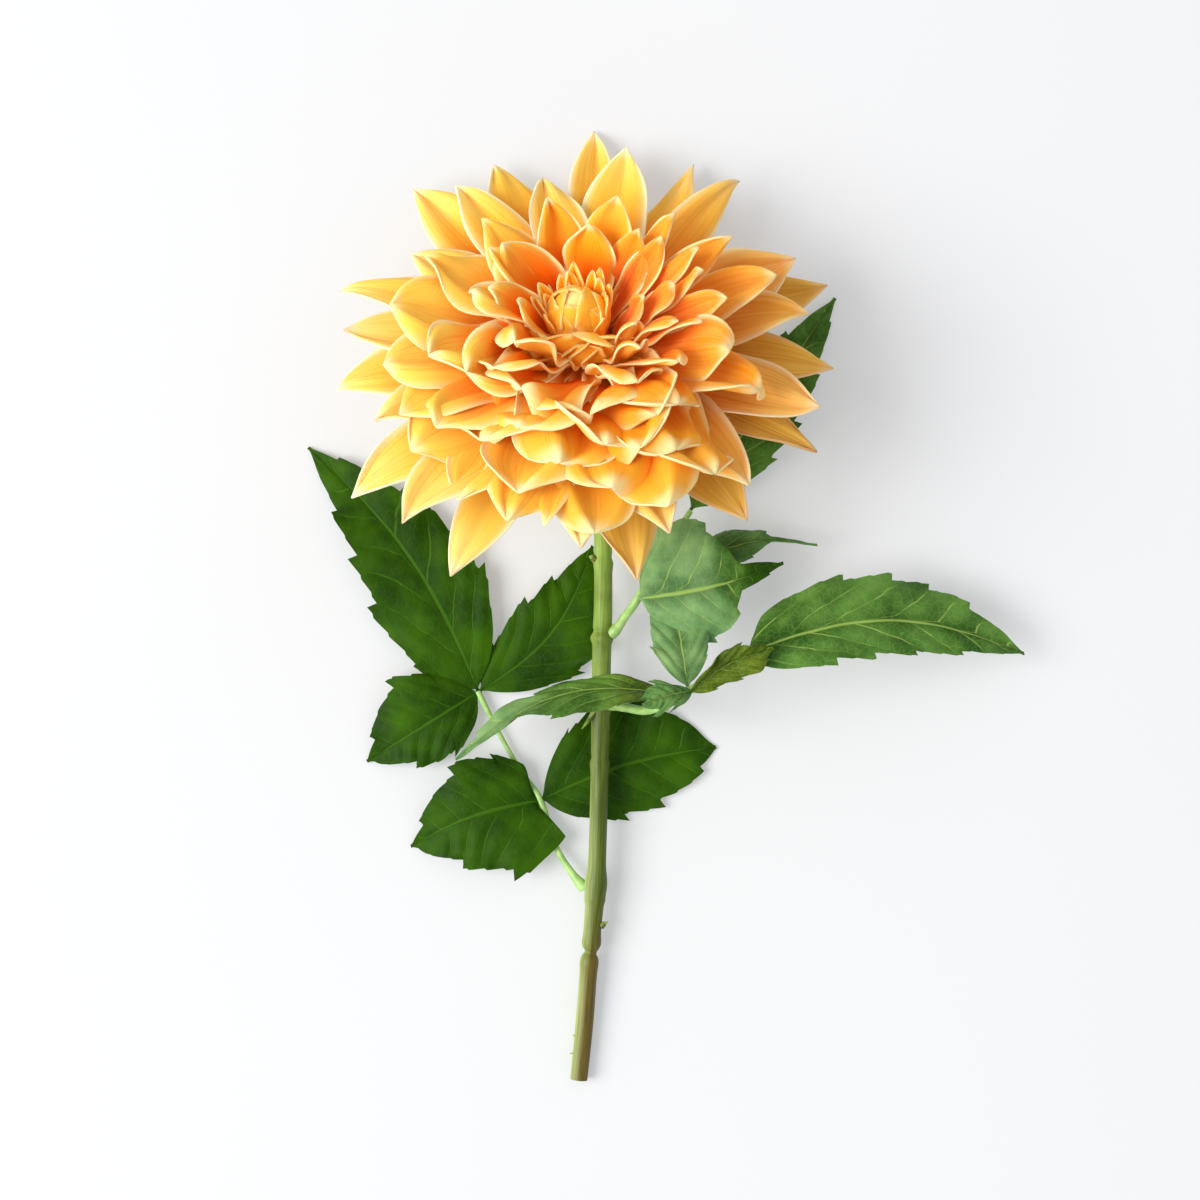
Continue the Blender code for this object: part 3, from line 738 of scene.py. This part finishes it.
LEAFLETS = {
    "left_leaflet_tip": Leaflet(
        base=(-37.4, -112.2, 3.4), tip=(-95.4, -29.0, 0.8), left=20, right=20, bow=-7, rise=5,
        teeth=5, full=0.5, widest=0.33, tone=DARK,
    ),
    "left_leaflet_upper_right": Leaflet(
        base=(-37.0, -112.0, 3.2), tip=(1.5, -62.6, 2.4), left=14, right=17, bow=-7, rise=2,
        teeth=4, full=0.6, tone=DARK, fold=0.08, widest=0.42,
    ),
    "left_leaflet_upper_left": Leaflet(
        base=(-37.6, -112.4, 3.2), tip=(-75.4, -136.0, 0.8), left=14, right=19, bow=0, rise=5,
        teeth=3, tone=DARK, full=0.42, widest=0.4, point=1.2,
    ),
    "left_leaflet_lower_left": Leaflet(
        base=(-16.4, -149.2, 4.2), tip=(-60.4, -165.0, 0.8), left=23, right=20, bow=-3, rise=6,
        teeth=3, tone=DARK, full=0.35, widest=0.3, point=1.2, back=(13, 6),
    ),
    "left_leaflet_lower_right": Leaflet(
        base=(-16.2, -148.9, 4.2), tip=(43.6, -131.2, 0.8), left=23, right=17, bow=3, rise=1,
        teeth=4, tone=DARK, point=2.2, widest=0.4, full=0.6, fold=0.06,
    ),
    "right_leaflet_tip": Leaflet(
        base=(51.8, -98.6, 37), tip=(146.9, -99.1, 14), left=18, right=12, bow=9, rise=7,
        face=(0.1, 0.35, 0.93), teeth=6, tooth=0.17, tone=MIDDLE, full=0.35, point=2.3,
        curl=0.25, quilt=0.9, widest=0.3, back=(2, 0),
    ),
    "right_leaflet_crossing": Leaflet(
        base=(29.0, -112.4, 35.4), tip=(-44.1, -134.2, 26), left=13, right=12, bow=-10, rise=7,
        face=(0.1, 0.9, 0.42), teeth=4, tone=0.1, tone_tip=0.7, shade=1.1, shade_tip=-0.5,
        wave=2.0,
    ),
    "right_leaflet_inner": Leaflet(
        base=(33.0, -109.6, 34), tip=(27.6, -74.0, 14), left=10, right=10, bow=0, rise=1,
        face=(0, 0.5, 0.87), teeth=3, tone=PALE,
    ),
    "right_leaflet_small": Leaflet(
        base=(34.4, -111.2, 38), tip=(18.0, -115.6, 42), left=6, right=5.5, bow=0, rise=2,
        face=(0, 0.5, 0.87), teeth=3, tooth=0.35, wave=1.8, tone=0.4,
    ),
    "right_leaflet_curled": Leaflet(
        base=(33.6, -111.4, 39.5), tip=(61.0, -96.8, 41), left=5, right=6, bow=2, rise=-1,
        face=(0, -0.3, 0.95), teeth=3, tooth=0.14, wave=2.2, tone=MIDDLE, shade=1.0,
        widest=0.5, fold=0.5, point=2.4,
    ),
    "upper_leaflet_front": Leaflet(
        base=(17.0, -80.6, 23), tip=(65.4, -68.6, 20), left=25, right=18, bow=-2, rise=6,
        # tone_tip paints its tail dark green: painted shade where the tail curves away from the
        # light.
        teeth=4, tone=PALE, tone_tip=-0.5, full=0.36, widest=0.4, quilt=0.9, curl=0.3, point=2.2,
        tail=0.34, tooth=0.12,
    ),
    "upper_leaflet_curled": Leaflet(
        base=(32.0, -71.0, 12), tip=(77.5, -62.4, 9), left=8, right=5, bow=4, rise=4,
        face=(0, 0.3, 0.95), teeth=3, tooth=0.1, tone=0.45, point=1.6, widest=0.5, curl=0.5,
        tail=0.26, start_roll=20, roll=-40,
    ),
    "upper_leaflet_tip": Leaflet(
        base=(34.6, -50.6, 10.4), tip=(84.2, 21.9, 0.8), left=13, right=14, bow=0, rise=4,
        teeth=5, tone=-0.2,
    ),
}  # fmt: skip


def build_leaves(material):
    rng = np.random.RandomState(11)
    for node, leaf in LEAFLETS.items():
        piece = mesh_object("fine_" + node, [leaf_shell(rng, leaf)], material)
        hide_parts(node)


# ---------------------------------------------------------------- stem and stalks

# Middle line and radius, from the cut end to the head
STEM_PATH = [
    (-3.2, -244.2, 3.3, 2.9), (-1.5, -227, 4.0, 3.0), (0.2, -205, 5.4, 3.0),
    (0.9, -200, 5.8, 3.0), (1.2, -196, 6.2, 3.0), (2.6, -178, 7.8, 3.3),
    (3.1, -168, 8.7, 3.1), (3.9, -136, 11.0, 3.1), (4.3, -117, 12.0, 3.2),
    (4.5, -110, 12.4, 3.1), (4.7, -93, 13.2, 3.2), (5.0, -84, 13.6, 3.1),
    (5.0, -62, 13.9, 3.0), (4.4, -43, 14.3, 3.0), (3.0, -27.5, 15.8, 3.0),
    (1.5, -17.0, 18.6, 3.0), (0.5, -11.0, 22.4, 3.1), (0, -6.7, 28.4, 3.3),
]  # fmt: skip
# Knuckles and rings: distance from the cut end, change of radius, half-length
STEM_RINGS = [
    (44, -1.0, 1.3), (47.5, 0.35, 2.2), (40, 0.25, 2.0), (67, 0.65, 4.5), (62, 0.3, 1.2),
    (108, 0.55, 1.2), (110, -0.3, 0.7), (128, 0.55, 3.0), (151, 0.75, 1.4), (153.4, -0.4, 0.7),
    (176, 0.4, 1.6), (178, -0.25, 0.7),
]
STALKS = {
    "left_leaf_stalk": [
        (-1.2, -179.0, 6.4, 1.9), (-6.3, -172.6, 5.4, 1.2), (-11.3, -164.1, 4.6, 1.0),
        (-16.4, -148.9, 4.0, 1.1), (-23.3, -138.7, 2.6, 0.85), (-30.1, -126.8, 2.6, 0.85),
        (-37.6, -112.0, 3.2, 1.1),
    ],
    "right_leaf_stalk": [
        (6.6, -115.8, 13.6, 2.2), (9.0, -116.4, 16.6, 1.8), (12.4, -117.0, 20.5, 1.6),
        (19.3, -117.8, 26.5, 1.5), (25.4, -115.7, 31, 1.4), (33.7, -110.6, 35, 1.3),
        (43.0, -107.4, 36.4, 1.2), (49.0, -102.6, 36.8, 1.1), (52.4, -98.4, 37, 1.0),
    ],
    "upper_leaf_stalk": [
        (7.6, -92.8, 13.8, 2.0), (10.2, -90.0, 14.8, 1.6), (12.4, -86.6, 15.4, 1.5),
        (16.4, -81.0, 19.4, 1.4), (21.4, -71.4, 17.4, 1.2), (28.6, -60.0, 13, 1.1),
        (34.6, -51.0, 10.6, 1.0),
    ],
}  # fmt: skip
STALK_RING = (2.5, 0.25, 1.5)  # each stalk swells a little where it grows from the stem
STEM_SIDES, STALK_SIDES, KNOB_SIDES = 28, 18, 12
STEM_LUMPS, STALK_LUMPS = 0.035, 0.05  # how uneven they are, as a part of their radius
# Small knobs on the stem: foot, tip and the radius at the foot
STEM_KNOBS = [
    ((2.2, -67.0, 14.6), (0.3, -66.2, 15.4), 1.6),
    ((2.6, -118.5, 13.6), (-2.2, -124.5, 16.0), 1.3),
    ((4.4, -191.5, 7.4), (6.8, -189.9, 8.2), 1.3),
    ((-1.6, -229.6, 4.4), (-5.3, -229.0, 4.8), 1.2),
    ((-1.8, -234.8, 4.2), (-6.4, -235.3, 4.0), 1.1),
]


def curve_through(points, steps):
    """A smooth curve through the points: an array with one row for each place on it."""
    given = np.array(points, dtype=float)
    padded = np.concatenate([2 * given[:1] - given[1:2], given, 2 * given[-1:] - given[-2:-1]])
    result = []
    for before, start, end, after in zip(padded, padded[1:], padded[2:], padded[3:]):
        for step in range(steps):
            t = step / steps
            slope_in, slope_out = (end - before) / 2, (after - start) / 2
            cubic = 2 * start - 2 * end + slope_in + slope_out
            square = 3 * end - 3 * start - 2 * slope_in - slope_out
            result.append(((cubic * t + square) * t + slope_in) * t + start)
    result.append(given[-1])
    return np.array(result)


def knob_path(foot, tip, radius):
    foot, tip = np.array(foot), np.array(tip)
    steps = np.linspace(0, 1, 9)[:, None]
    return np.concatenate([foot + (tip - foot) * steps, radius * (1 - 0.93 * steps**1.2)], axis=1)


def cross_axes(centre):
    """Two unit directions across a path at each of its points: downwards and to the left."""
    tangent = np.gradient(centre, axis=0)
    tangent /= np.linalg.norm(tangent, axis=1, keepdims=True)
    first = np.cross(tangent, [1.0, 0.0, 0.0])
    first /= np.linalg.norm(first, axis=1, keepdims=True)
    return first, np.cross(tangent, first)


def uneven_sides(turn, distance, lumps, seed):
    """How much thicker or thinner a stalk is, round it and along it (distance in metres)."""
    phases = np.random.RandomState(seed).uniform(0, 2 * np.pi, 3)
    three = np.sin(3 * turn + phases[0] + distance * 90)
    two = np.sin(2 * turn + phases[1] - distance * 40)
    return 1 + lumps * 0.5 * (three + two)


def tube_shell(path, sides, rings=(), lumps=0.0, seed=0):
    """A closed round stalk along a path, with rings, knuckles and slightly uneven sides."""
    centre = np.array([place(point) for point in path[:, :3]])
    gaps = np.linalg.norm(np.diff(centre, axis=0), axis=1)
    distance = np.concatenate([[0], np.cumsum(gaps)])
    radius = path[:, 3] * MM
    for at, change, spread in rings:
        away = (distance / MM - at) / spread
        radius = radius + change * MM * np.exp(-(away**2))
    turn = np.linspace(0, 2 * np.pi, sides, endpoint=False)[None, :]
    size = radius[:, None] * uneven_sides(turn, distance[:, None], lumps, seed)
    first, second = cross_axes(centre)
    across = first[:, None, :] * (np.cos(turn) * size)[..., None]
    across = across + second[:, None, :] * (np.sin(turn) * size)[..., None]
    points = (centre[:, None, :] + across).reshape(-1, 3)
    vertices = np.concatenate([points, centre[:1], centre[-1:]])
    around = np.tile(np.arange(sides) / sides, len(path))
    along = np.repeat(distance / distance[-1], sides)
    uv = np.concatenate([np.stack([around, along], axis=1), [[0.5, 0.0], [0.5, 1.0]]])
    return vertices, ring_faces(len(path), sides), uv, {}


def build_stem(material):
    path = curve_through(STEM_PATH, 14)
    shells = [tube_shell(path, STEM_SIDES, STEM_RINGS, STEM_LUMPS)]
    shells += [tube_shell(knob_path(*knob), KNOB_SIDES) for knob in STEM_KNOBS]
    piece = mesh_object("fine_stem", shells, material)
    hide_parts("stem")


def build_stalks(material):
    for order, (node, points) in enumerate(STALKS.items(), 1):
        path = curve_through(points, 10)
        shape = tube_shell(path, STALK_SIDES, [STALK_RING], STALK_LUMPS, order)
        piece = mesh_object("fine_" + node, [shape], material)
        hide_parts(node)


# ---------------------------------------------------------------- materials


class Nodes:
    """A short way to build one material's node tree."""

    def __init__(self, name, specular=0.5):
        self.material = bpy.data.materials.new(name)
        self.material.use_nodes = True
        self.tree = self.material.node_tree
        self.shader = self.tree.nodes["Principled BSDF"]
        self.set("Specular IOR Level", specular)

    def set(self, name, value):
        self.put(self.shader.inputs[name], value)

    def put(self, socket, value):
        if isinstance(value, bpy.types.NodeSocket):
            self.tree.links.new(value, socket)
        elif value is not None:
            socket.default_value = value

    def add(self, kind, **inputs):
        """A new node with these inputs, numbers or sockets to link. _ stands for a space."""
        node = self.tree.nodes.new("ShaderNode" + kind)
        for name, value in inputs.items():
            self.put(node.inputs[name.replace("_", " ")], value)
        return node

    def math(self, operation, first, second=None):
        node = self.add("Math")
        node.operation = operation
        self.put(node.inputs[0], first)
        self.put(node.inputs[1], second)
        return node.outputs[0]

    def plus(self, first, second):
        return self.math("ADD", first, second)

    def minus(self, first, second):
        return self.math("SUBTRACT", first, second)

    def times(self, first, second):
        return self.math("MULTIPLY", first, second)

    def most(self, first, second):
        return self.math("MAXIMUM", first, second)

    def between(self, value, low, high, out_low=0.0, out_high=1.0):
        node = self.add("MapRange", Value=value, From_Min=low, From_Max=high)
        node.interpolation_type = "SMOOTHSTEP"
        self.put(node.inputs["To Min"], out_low)
        self.put(node.inputs["To Max"], out_high)
        return node.outputs["Result"]

    def mix(self, factor, first, second):
        node = self.add("Mix")
        node.data_type = "RGBA"
        self.put(node.inputs["Factor"], factor)
        self.put(node.inputs["A"], colour(first))
        self.put(node.inputs["B"], colour(second))
        return next(out for out in node.outputs if out.type == "RGBA")

    def attribute(self, name):
        node = self.add("Attribute")
        node.attribute_name = name
        return node.outputs["Fac"]

    def uv(self):
        """How far across and how far along the petal, leaf or stalk each point is."""
        node = self.add("UVMap")
        node.uv_map = "UVMap"
        split = self.add("SeparateXYZ", Vector=node.outputs["UV"])
        return split.outputs[0], split.outputs[1]

    def vector(self, x, y, z):
        return self.add("CombineXYZ", X=x, Y=y, Z=z).outputs[0]

    def place(self):
        return self.add("TexCoord").outputs["Object"]

    def noise(self, vector, scale, detail, roughness=0.5):
        node = self.add("TexNoise", Scale=scale, Detail=detail, Roughness=roughness)
        self.put(node.inputs["Vector"], vector)
        return node.outputs["Fac"]

    def cells(self, vector, scale):
        node = self.add("TexVoronoi", Scale=scale, Vector=vector)
        node.feature = "DISTANCE_TO_EDGE"
        return node.outputs["Distance"]

    def bump(self, height, distance, strength, normal=None):
        node = self.add("Bump", Strength=strength, Distance=distance, Height=height)
        self.put(node.inputs["Normal"], normal)
        return node.outputs["Normal"]

    def finish(self, base, roughness, normal=None):
        self.set("Base Color", base)
        self.set("Roughness", roughness)
        self.set("Normal", normal)
        return self.material


def linear(value):
    value = value / 255
    return value / 12.92 if value <= 0.04045 else ((value + 0.055) / 1.055) ** 2.4


def colour(value):
    """A screen colour as 0 to 255 numbers, turned to the linear values of a socket."""
    if isinstance(value, tuple):
        return (*(linear(part) for part in value), 1.0)
    return value


# deep, root, body, pale: the upper side from its foot to its sides and tip; the deep orange foot is
# partly own colour and partly painted shade where the petals crowd. back: the lower side. through:
# strength of a painted orange glow, which stands for light coming through the petals and warms the
# gaps between them.
PETAL_LOOKS = {
    "petal_outer": SimpleNamespace(
        deep=(206, 70, 0), root=(245, 128, 10), body=(253, 196, 66), pale=(255, 229, 146),
        rim=(255, 241, 200), back=(251, 204, 98), through=0.01,
    ),
    "petal_inner": SimpleNamespace(
        deep=(208, 44, 0), root=(243, 104, 0), body=(253, 160, 16), pale=(254, 204, 82),
        rim=(255, 236, 178), back=(250, 188, 68), through=0.035,
    ),
    "petal_centre": SimpleNamespace(
        deep=(228, 80, 0), root=(250, 128, 4), body=(255, 176, 36), pale=(255, 198, 76),
        rim=(255, 228, 150), back=(255, 184, 56), through=0.05,
    ),
}  # fmt: skip


def petal_places(nodes):
    """What a petal's colours depend on: its marks, the place on it, and fine streaks."""
    names = ("tone", "under", "olive", "painted_shade_tan", "fresh", "deep_orange_and_shade")
    at = SimpleNamespace(**{name: nodes.attribute(name) for name in names})
    across, at.along = nodes.uv()
    at.edge = nodes.math("ABSOLUTE", nodes.minus(nodes.times(across, 2.0), 1.0))
    stretched = nodes.vector(
        nodes.times(across, 24.0), nodes.times(at.along, 1.5), nodes.times(at.tone, 9.0)
    )
    at.streaks = nodes.noise(stretched, 1.0, 4.0, 0.6)
    at.grain = nodes.noise(stretched, 3.2, 2.0)
    wander = nodes.times(nodes.minus(nodes.noise(nodes.place(), 60.0, 2.0), 0.5), 0.3)
    wander = nodes.plus(wander, nodes.times(at.tone, 0.06))
    at.reach = nodes.minus(nodes.plus(at.along, wander), at.deep_orange_and_shade)
    return at


def petal_upper_side(nodes, at, look):
    """Deep orange foot, partly its own colour and partly painted shade; golden hollow, painted
    yellower and paler on the lit left as painted light; pale sides and tip, and orange stripes.
    """
    foot = nodes.mix(nodes.between(at.reach, 0.1, 0.38), look.deep, look.root)
    # Painted light: the body is yellower and paler where the lamp lights the lower left of the
    # flower.
    painted_lit_body = nodes.mix(nodes.times(at.fresh, 0.9), look.body, (255, 212, 92))
    hollow = nodes.mix(nodes.between(at.reach, 0.32, 0.8), foot, painted_lit_body)
    side_fade = nodes.times(nodes.between(at.edge, 0.55, 1.05), 0.75)
    fade = nodes.most(side_fade, nodes.between(at.reach, 0.7, 1.1, 0.0, 0.85))
    fade = nodes.times(fade, nodes.between(at.along, 0.08, 0.4))
    striped = nodes.between(at.streaks, 0.5, 0.7, 0.0, 0.42)
    striped = nodes.times(striped, nodes.between(at.edge, 1.0, 0.6))
    return nodes.mix(striped, nodes.mix(fade, hollow, look.pale), look.root)


def petal_lower_side(nodes, at, look):
    below = nodes.mix(nodes.between(at.streaks, 0.35, 0.75, 0.0, 0.5), look.back, look.pale)
    return nodes.mix(nodes.between(at.along, 0.05, 0.4), look.root, below)


def tinted(nodes, at, base):
    """The same petal with painted shade, orange-brown on the right of the flower, and where it is
    olive, partly its own colour and partly painted shade.
    """
    painted_tan = nodes.mix(nodes.between(at.streaks, 0.35, 0.65), (226, 122, 46), (248, 184, 114))
    green = nodes.mix(nodes.between(at.streaks, 0.3, 0.75), (196, 146, 40), (232, 192, 96))
    base = nodes.mix(nodes.times(at.painted_shade_tan, 0.75), base, painted_tan)
    # The olive is partly the petal's own colour and partly painted shade on the right of the
    # flower.
    return nodes.mix(nodes.times(at.olive, 0.85), base, green)


def rimmed(nodes, at, base, rim):
    """The same petal with its pale rim, and with a browned tip where no orange reaches."""
    ends = nodes.most(nodes.between(at.edge, 0.78, 1.0), nodes.between(at.along, 0.91, 1.0))
    ends = nodes.times(ends, nodes.between(at.along, 0.1, 0.45, 0.1, 0.95))
    # Olive rims: partly their own colour, partly painted shade.
    edging = nodes.mix(nodes.times(at.olive, 0.8), rim, (206, 150, 84))
    # Painted shade: the rims go orange-brown on the shaded right of the flower too.
    edging = nodes.mix(nodes.times(at.painted_shade_tan, 0.5), edging, (236, 176, 118))
    base = nodes.mix(ends, base, edging)
    tip = nodes.times(nodes.between(at.along, 0.93, 1.0), nodes.between(at.tone, -0.4, 1.0))
    browned = nodes.times(tip, nodes.between(at.deep_orange_and_shade, 0.02, 0.0, 0.0, 0.45))
    return nodes.mix(browned, base, (216, 138, 72))


def petal_material(name):
    look = PETAL_LOOKS[name]
    nodes = Nodes(name, specular=0.1)
    at = petal_places(nodes)
    upper, lower = petal_upper_side(nodes, at, look), petal_lower_side(nodes, at, look)
    base = tinted(nodes, at, nodes.mix(at.under, upper, lower))
    base = rimmed(nodes, at, base, look.rim)
    normal = nodes.bump(at.streaks, 0.35 * MM, 0.5)
    normal = nodes.bump(at.grain, 0.1 * MM, 0.3, normal)
    nodes.set("Subsurface Weight", 0.3)
    nodes.set("Subsurface Radius", (1.0, 0.4, 0.1))
    nodes.set("Subsurface Scale", 2.5 * MM)
    # Painted light: the petals glow faintly orange, standing for light that comes through them.
    nodes.set("Emission Color", (1.0, 0.36, 0.02, 1))
    nodes.set("Emission Strength", look.through)
    return nodes.finish(base, nodes.between(at.grain, 0.2, 0.8, 0.5, 0.68), normal)


def leaf_lines(nodes, edge, blotch):
    """1 on the midrib, the side veins and the fine net between them, and 0 elsewhere."""
    wobble = nodes.times(nodes.minus(blotch, 0.5), 0.5)
    phase = nodes.math("FRACT", nodes.plus(nodes.attribute("vein"), wobble))
    away = nodes.math("MINIMUM", phase, nodes.minus(1.0, phase))
    fading = nodes.noise(nodes.place(), 160.0, 2.0)
    side_vein = nodes.between(away, 0.06, 0.01)
    side_vein = nodes.times(side_vein, nodes.between(edge, 1.0, 0.5, 0.1, 1.0))
    side_vein = nodes.times(side_vein, nodes.between(fading, 0.35, 0.6, 0.25, 1.0))
    midrib = nodes.between(edge, 0.05, 0.015)
    net = nodes.between(nodes.cells(nodes.place(), 420.0), 0.08, 0.0, 0.0, 0.22)
    return nodes.most(nodes.most(side_vein, midrib), net)


def leaf_material():
    """Leaf: green blade, darkened beside the midrib as painted shade, with a pale midrib, side
    veins and a fine net, and a paler underside.
    """
    nodes = Nodes("dahlia_leaf", specular=0.08)
    across, _ = nodes.uv()
    edge = nodes.math("ABSOLUTE", nodes.minus(nodes.times(across, 2.0), 1.0))
    tone, shade, under = (nodes.attribute(mark) for mark in ("tone", "shade", "under"))
    light_tone = nodes.between(tone, DARK, MIDDLE)
    blotch = nodes.noise(nodes.place(), 70.0, 3.0)
    lines = leaf_lines(nodes, edge, blotch)
    patchy = nodes.between(blotch, 0.25, 0.75)
    dark = nodes.mix(patchy, (24, 54, 0), (53, 93, 0))
    mid = nodes.mix(patchy, (44, 84, 24), (98, 142, 60))
    blue = nodes.mix(patchy, (66, 112, 62), (142, 180, 118))
    olive = nodes.mix(patchy, (50, 74, 8), (98, 116, 30))
    blade = nodes.mix(light_tone, dark, mid)
    # Blue-green of the pale leaves: partly their own bloom, partly a painted sheen of reflected
    # light.
    blade = nodes.mix(nodes.between(tone, MIDDLE, PALE), blade, blue)
    blade = nodes.mix(nodes.between(shade, 0.5, 1.0), blade, olive)
    # Painted shade: the blade is darker beside the midrib, where it folds.
    blade = nodes.mix(nodes.between(edge, 0.4, 0.0, 0.0, 0.4), blade, (26, 58, 0))
    vein_colour = nodes.mix(light_tone, (66, 112, 18), (170, 202, 100))
    upper = nodes.mix(nodes.times(lines, 0.55), blade, vein_colour)
    below = nodes.mix(nodes.times(lines, 0.6), (92, 122, 62), (150, 172, 104))
    normal = nodes.bump(nodes.minus(1.0, lines), 0.35 * MM, 0.6)
    normal = nodes.bump(nodes.noise(nodes.place(), 700.0, 3.0), 0.2 * MM, 0.5, normal)
    base = nodes.mix(under, upper, below)
    return nodes.finish(base, nodes.between(blotch, 0.2, 0.8, 0.42, 0.6), normal)


def stem_material():
    """Stem: green near the flower, olive, then brown at the cut end, and painted paler on its lit
    left side as painted light.
    """
    nodes = Nodes("dahlia_stem", specular=0.25)
    around, along = nodes.uv()
    strands = nodes.vector(nodes.times(around, 30.0), nodes.times(along, 14.0), 0.0)
    fibres = nodes.noise(strands, 1.0, 4.0)
    patches = nodes.noise(nodes.place(), 60.0, 3.0)
    shift = nodes.plus(along, nodes.times(nodes.minus(patches, 0.5), 0.5))
    strand = nodes.between(fibres, 0.3, 0.7)
    green = nodes.mix(strand, (124, 158, 56), (154, 182, 86))
    pale = nodes.mix(strand, (152, 170, 92), (184, 200, 132))
    olive = nodes.mix(strand, (62, 78, 12), (88, 104, 28))
    brown = nodes.mix(strand, (78, 64, 14), (112, 94, 34))
    # Painted light: the lit left side of the lower stem is painted paler.
    left = nodes.times(nodes.between(around, 0.56, 0.2), nodes.between(along, 0.5, 0.3, 0.3, 1.0))
    base = nodes.mix(nodes.between(shift, 0.08, 0.32), brown, olive)
    base = nodes.mix(left, base, pale)
    base = nodes.mix(nodes.between(shift, 0.45, 0.8), base, green)
    normal = nodes.bump(fibres, 0.14 * MM, 0.4)
    normal = nodes.bump(nodes.noise(nodes.place(), 700.0, 2.0), 0.15 * MM, 0.4, normal)
    return nodes.finish(base, nodes.between(patches, 0.2, 0.8, 0.36, 0.52), normal)


def receptacle_material():
    """Receptacle: green below, and deep orange where the petals grow from it."""
    nodes = Nodes("dahlia_receptacle")
    _, height = nodes.uv()
    fibres = nodes.noise(nodes.place(), 260.0, 3.0)
    green = nodes.mix(nodes.between(fibres, 0.3, 0.7), (112, 140, 60), (150, 176, 92))
    base = nodes.mix(nodes.between(height, 0.35, 0.55), green, (196, 64, 8))
    normal = nodes.bump(fibres, 0.3 * MM, 0.5)
    return nodes.finish(base, nodes.between(fibres, 0.2, 0.8, 0.42, 0.6), normal)


def stalk_material():
    """Leaf stalks and bracts: pale fresh green."""
    nodes = Nodes("dahlia_stalk")
    fibres = nodes.noise(nodes.place(), 260.0, 3.0)
    base = nodes.mix(nodes.between(fibres, 0.3, 0.7), (140, 182, 96), (172, 208, 124))
    normal = nodes.bump(fibres, 0.2 * MM, 0.4)
    return nodes.finish(base, nodes.between(fibres, 0.2, 0.8, 0.36, 0.5), normal)


# ---------------------------------------------------------------- floor, light and camera

FLOOR_SIZE = 6.0
FLOOR_GLOW = 0.3  # the pale table is lit from below a little, which keeps its shadows light
SKY_STRENGTH = 0.7
KEY_PLACE = (-2.0, -0.2, 2.1)  # a large soft lamp, high on the left
KEY_POWER, KEY_SIZE = 92, 1.8


def floor_material():
    nodes = Nodes("studio_floor", specular=0.1)
    cloud = nodes.noise(nodes.place(), 3.0, 2.0)
    base = nodes.mix(nodes.between(cloud, 0.2, 0.8), (182, 183, 185), (184, 185, 186))
    nodes.set("Emission Color", (0.98, 0.99, 1.0, 1))
    nodes.set("Emission Strength", FLOOR_GLOW)
    return nodes.finish(base, 0.9)


def build_floor():
    mesh = bpy.data.meshes.new("floor")
    half = FLOOR_SIZE / 2
    corners = [(-half, -half, 0), (half, -half, 0), (half, half, 0), (-half, half, 0)]
    mesh.from_pydata(corners, [], [(0, 1, 2, 3)])
    mesh.materials.append(floor_material())
    floor = bpy.data.objects.new("floor", mesh)
    bpy.context.scene.collection.objects.link(floor)


def build_key_light():
    data = bpy.data.lights.new("key", "AREA")
    data.energy = KEY_POWER
    data.size = KEY_SIZE
    data.color = (1.0, 0.985, 0.96)
    light = bpy.data.objects.new("key", data)
    light.location = KEY_PLACE
    aim = place((0, -50, 30)) - Vector(KEY_PLACE)
    light.rotation_euler = aim.to_track_quat("-Z", "Y").to_euler()
    bpy.context.scene.collection.objects.link(light)


def build_sky():
    world = bpy.context.scene.world or bpy.data.worlds.new("studio")
    bpy.context.scene.world = world
    world.use_nodes = True
    background = world.node_tree.nodes["Background"]
    background.inputs["Color"].default_value = (0.97, 0.98, 1.0, 1)
    background.inputs["Strength"].default_value = SKY_STRENGTH


def build_camera():
    data = bpy.data.cameras.new("camera")
    data.lens = CAMERA_LENS
    data.sensor_width = 36
    data.clip_start = 0.05
    data.clip_end = 20
    camera = bpy.data.objects.new("camera", data)
    camera.location = place((*CAMERA_PLACE, 0)) + Vector((0, 0, HEAD.z + CAMERA_DISTANCE))
    bpy.context.scene.collection.objects.link(camera)
    bpy.context.scene.camera = camera


def build():
    bpy.context.scene.view_settings.view_transform = "Standard"
    build_outer_petals(petal_material("petal_outer"))
    build_inner_petals(petal_material("petal_inner"))
    build_bud(petal_material("petal_centre"))
    build_leaves(leaf_material())
    build_stem(stem_material())
    stalk = stalk_material()
    build_stalks(stalk)
    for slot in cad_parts["bracts"].material_slots:
        slot.material = stalk
    build_receptacle(receptacle_material())
    build_floor()
    build_key_light()
    build_sky()
    build_camera()


build()
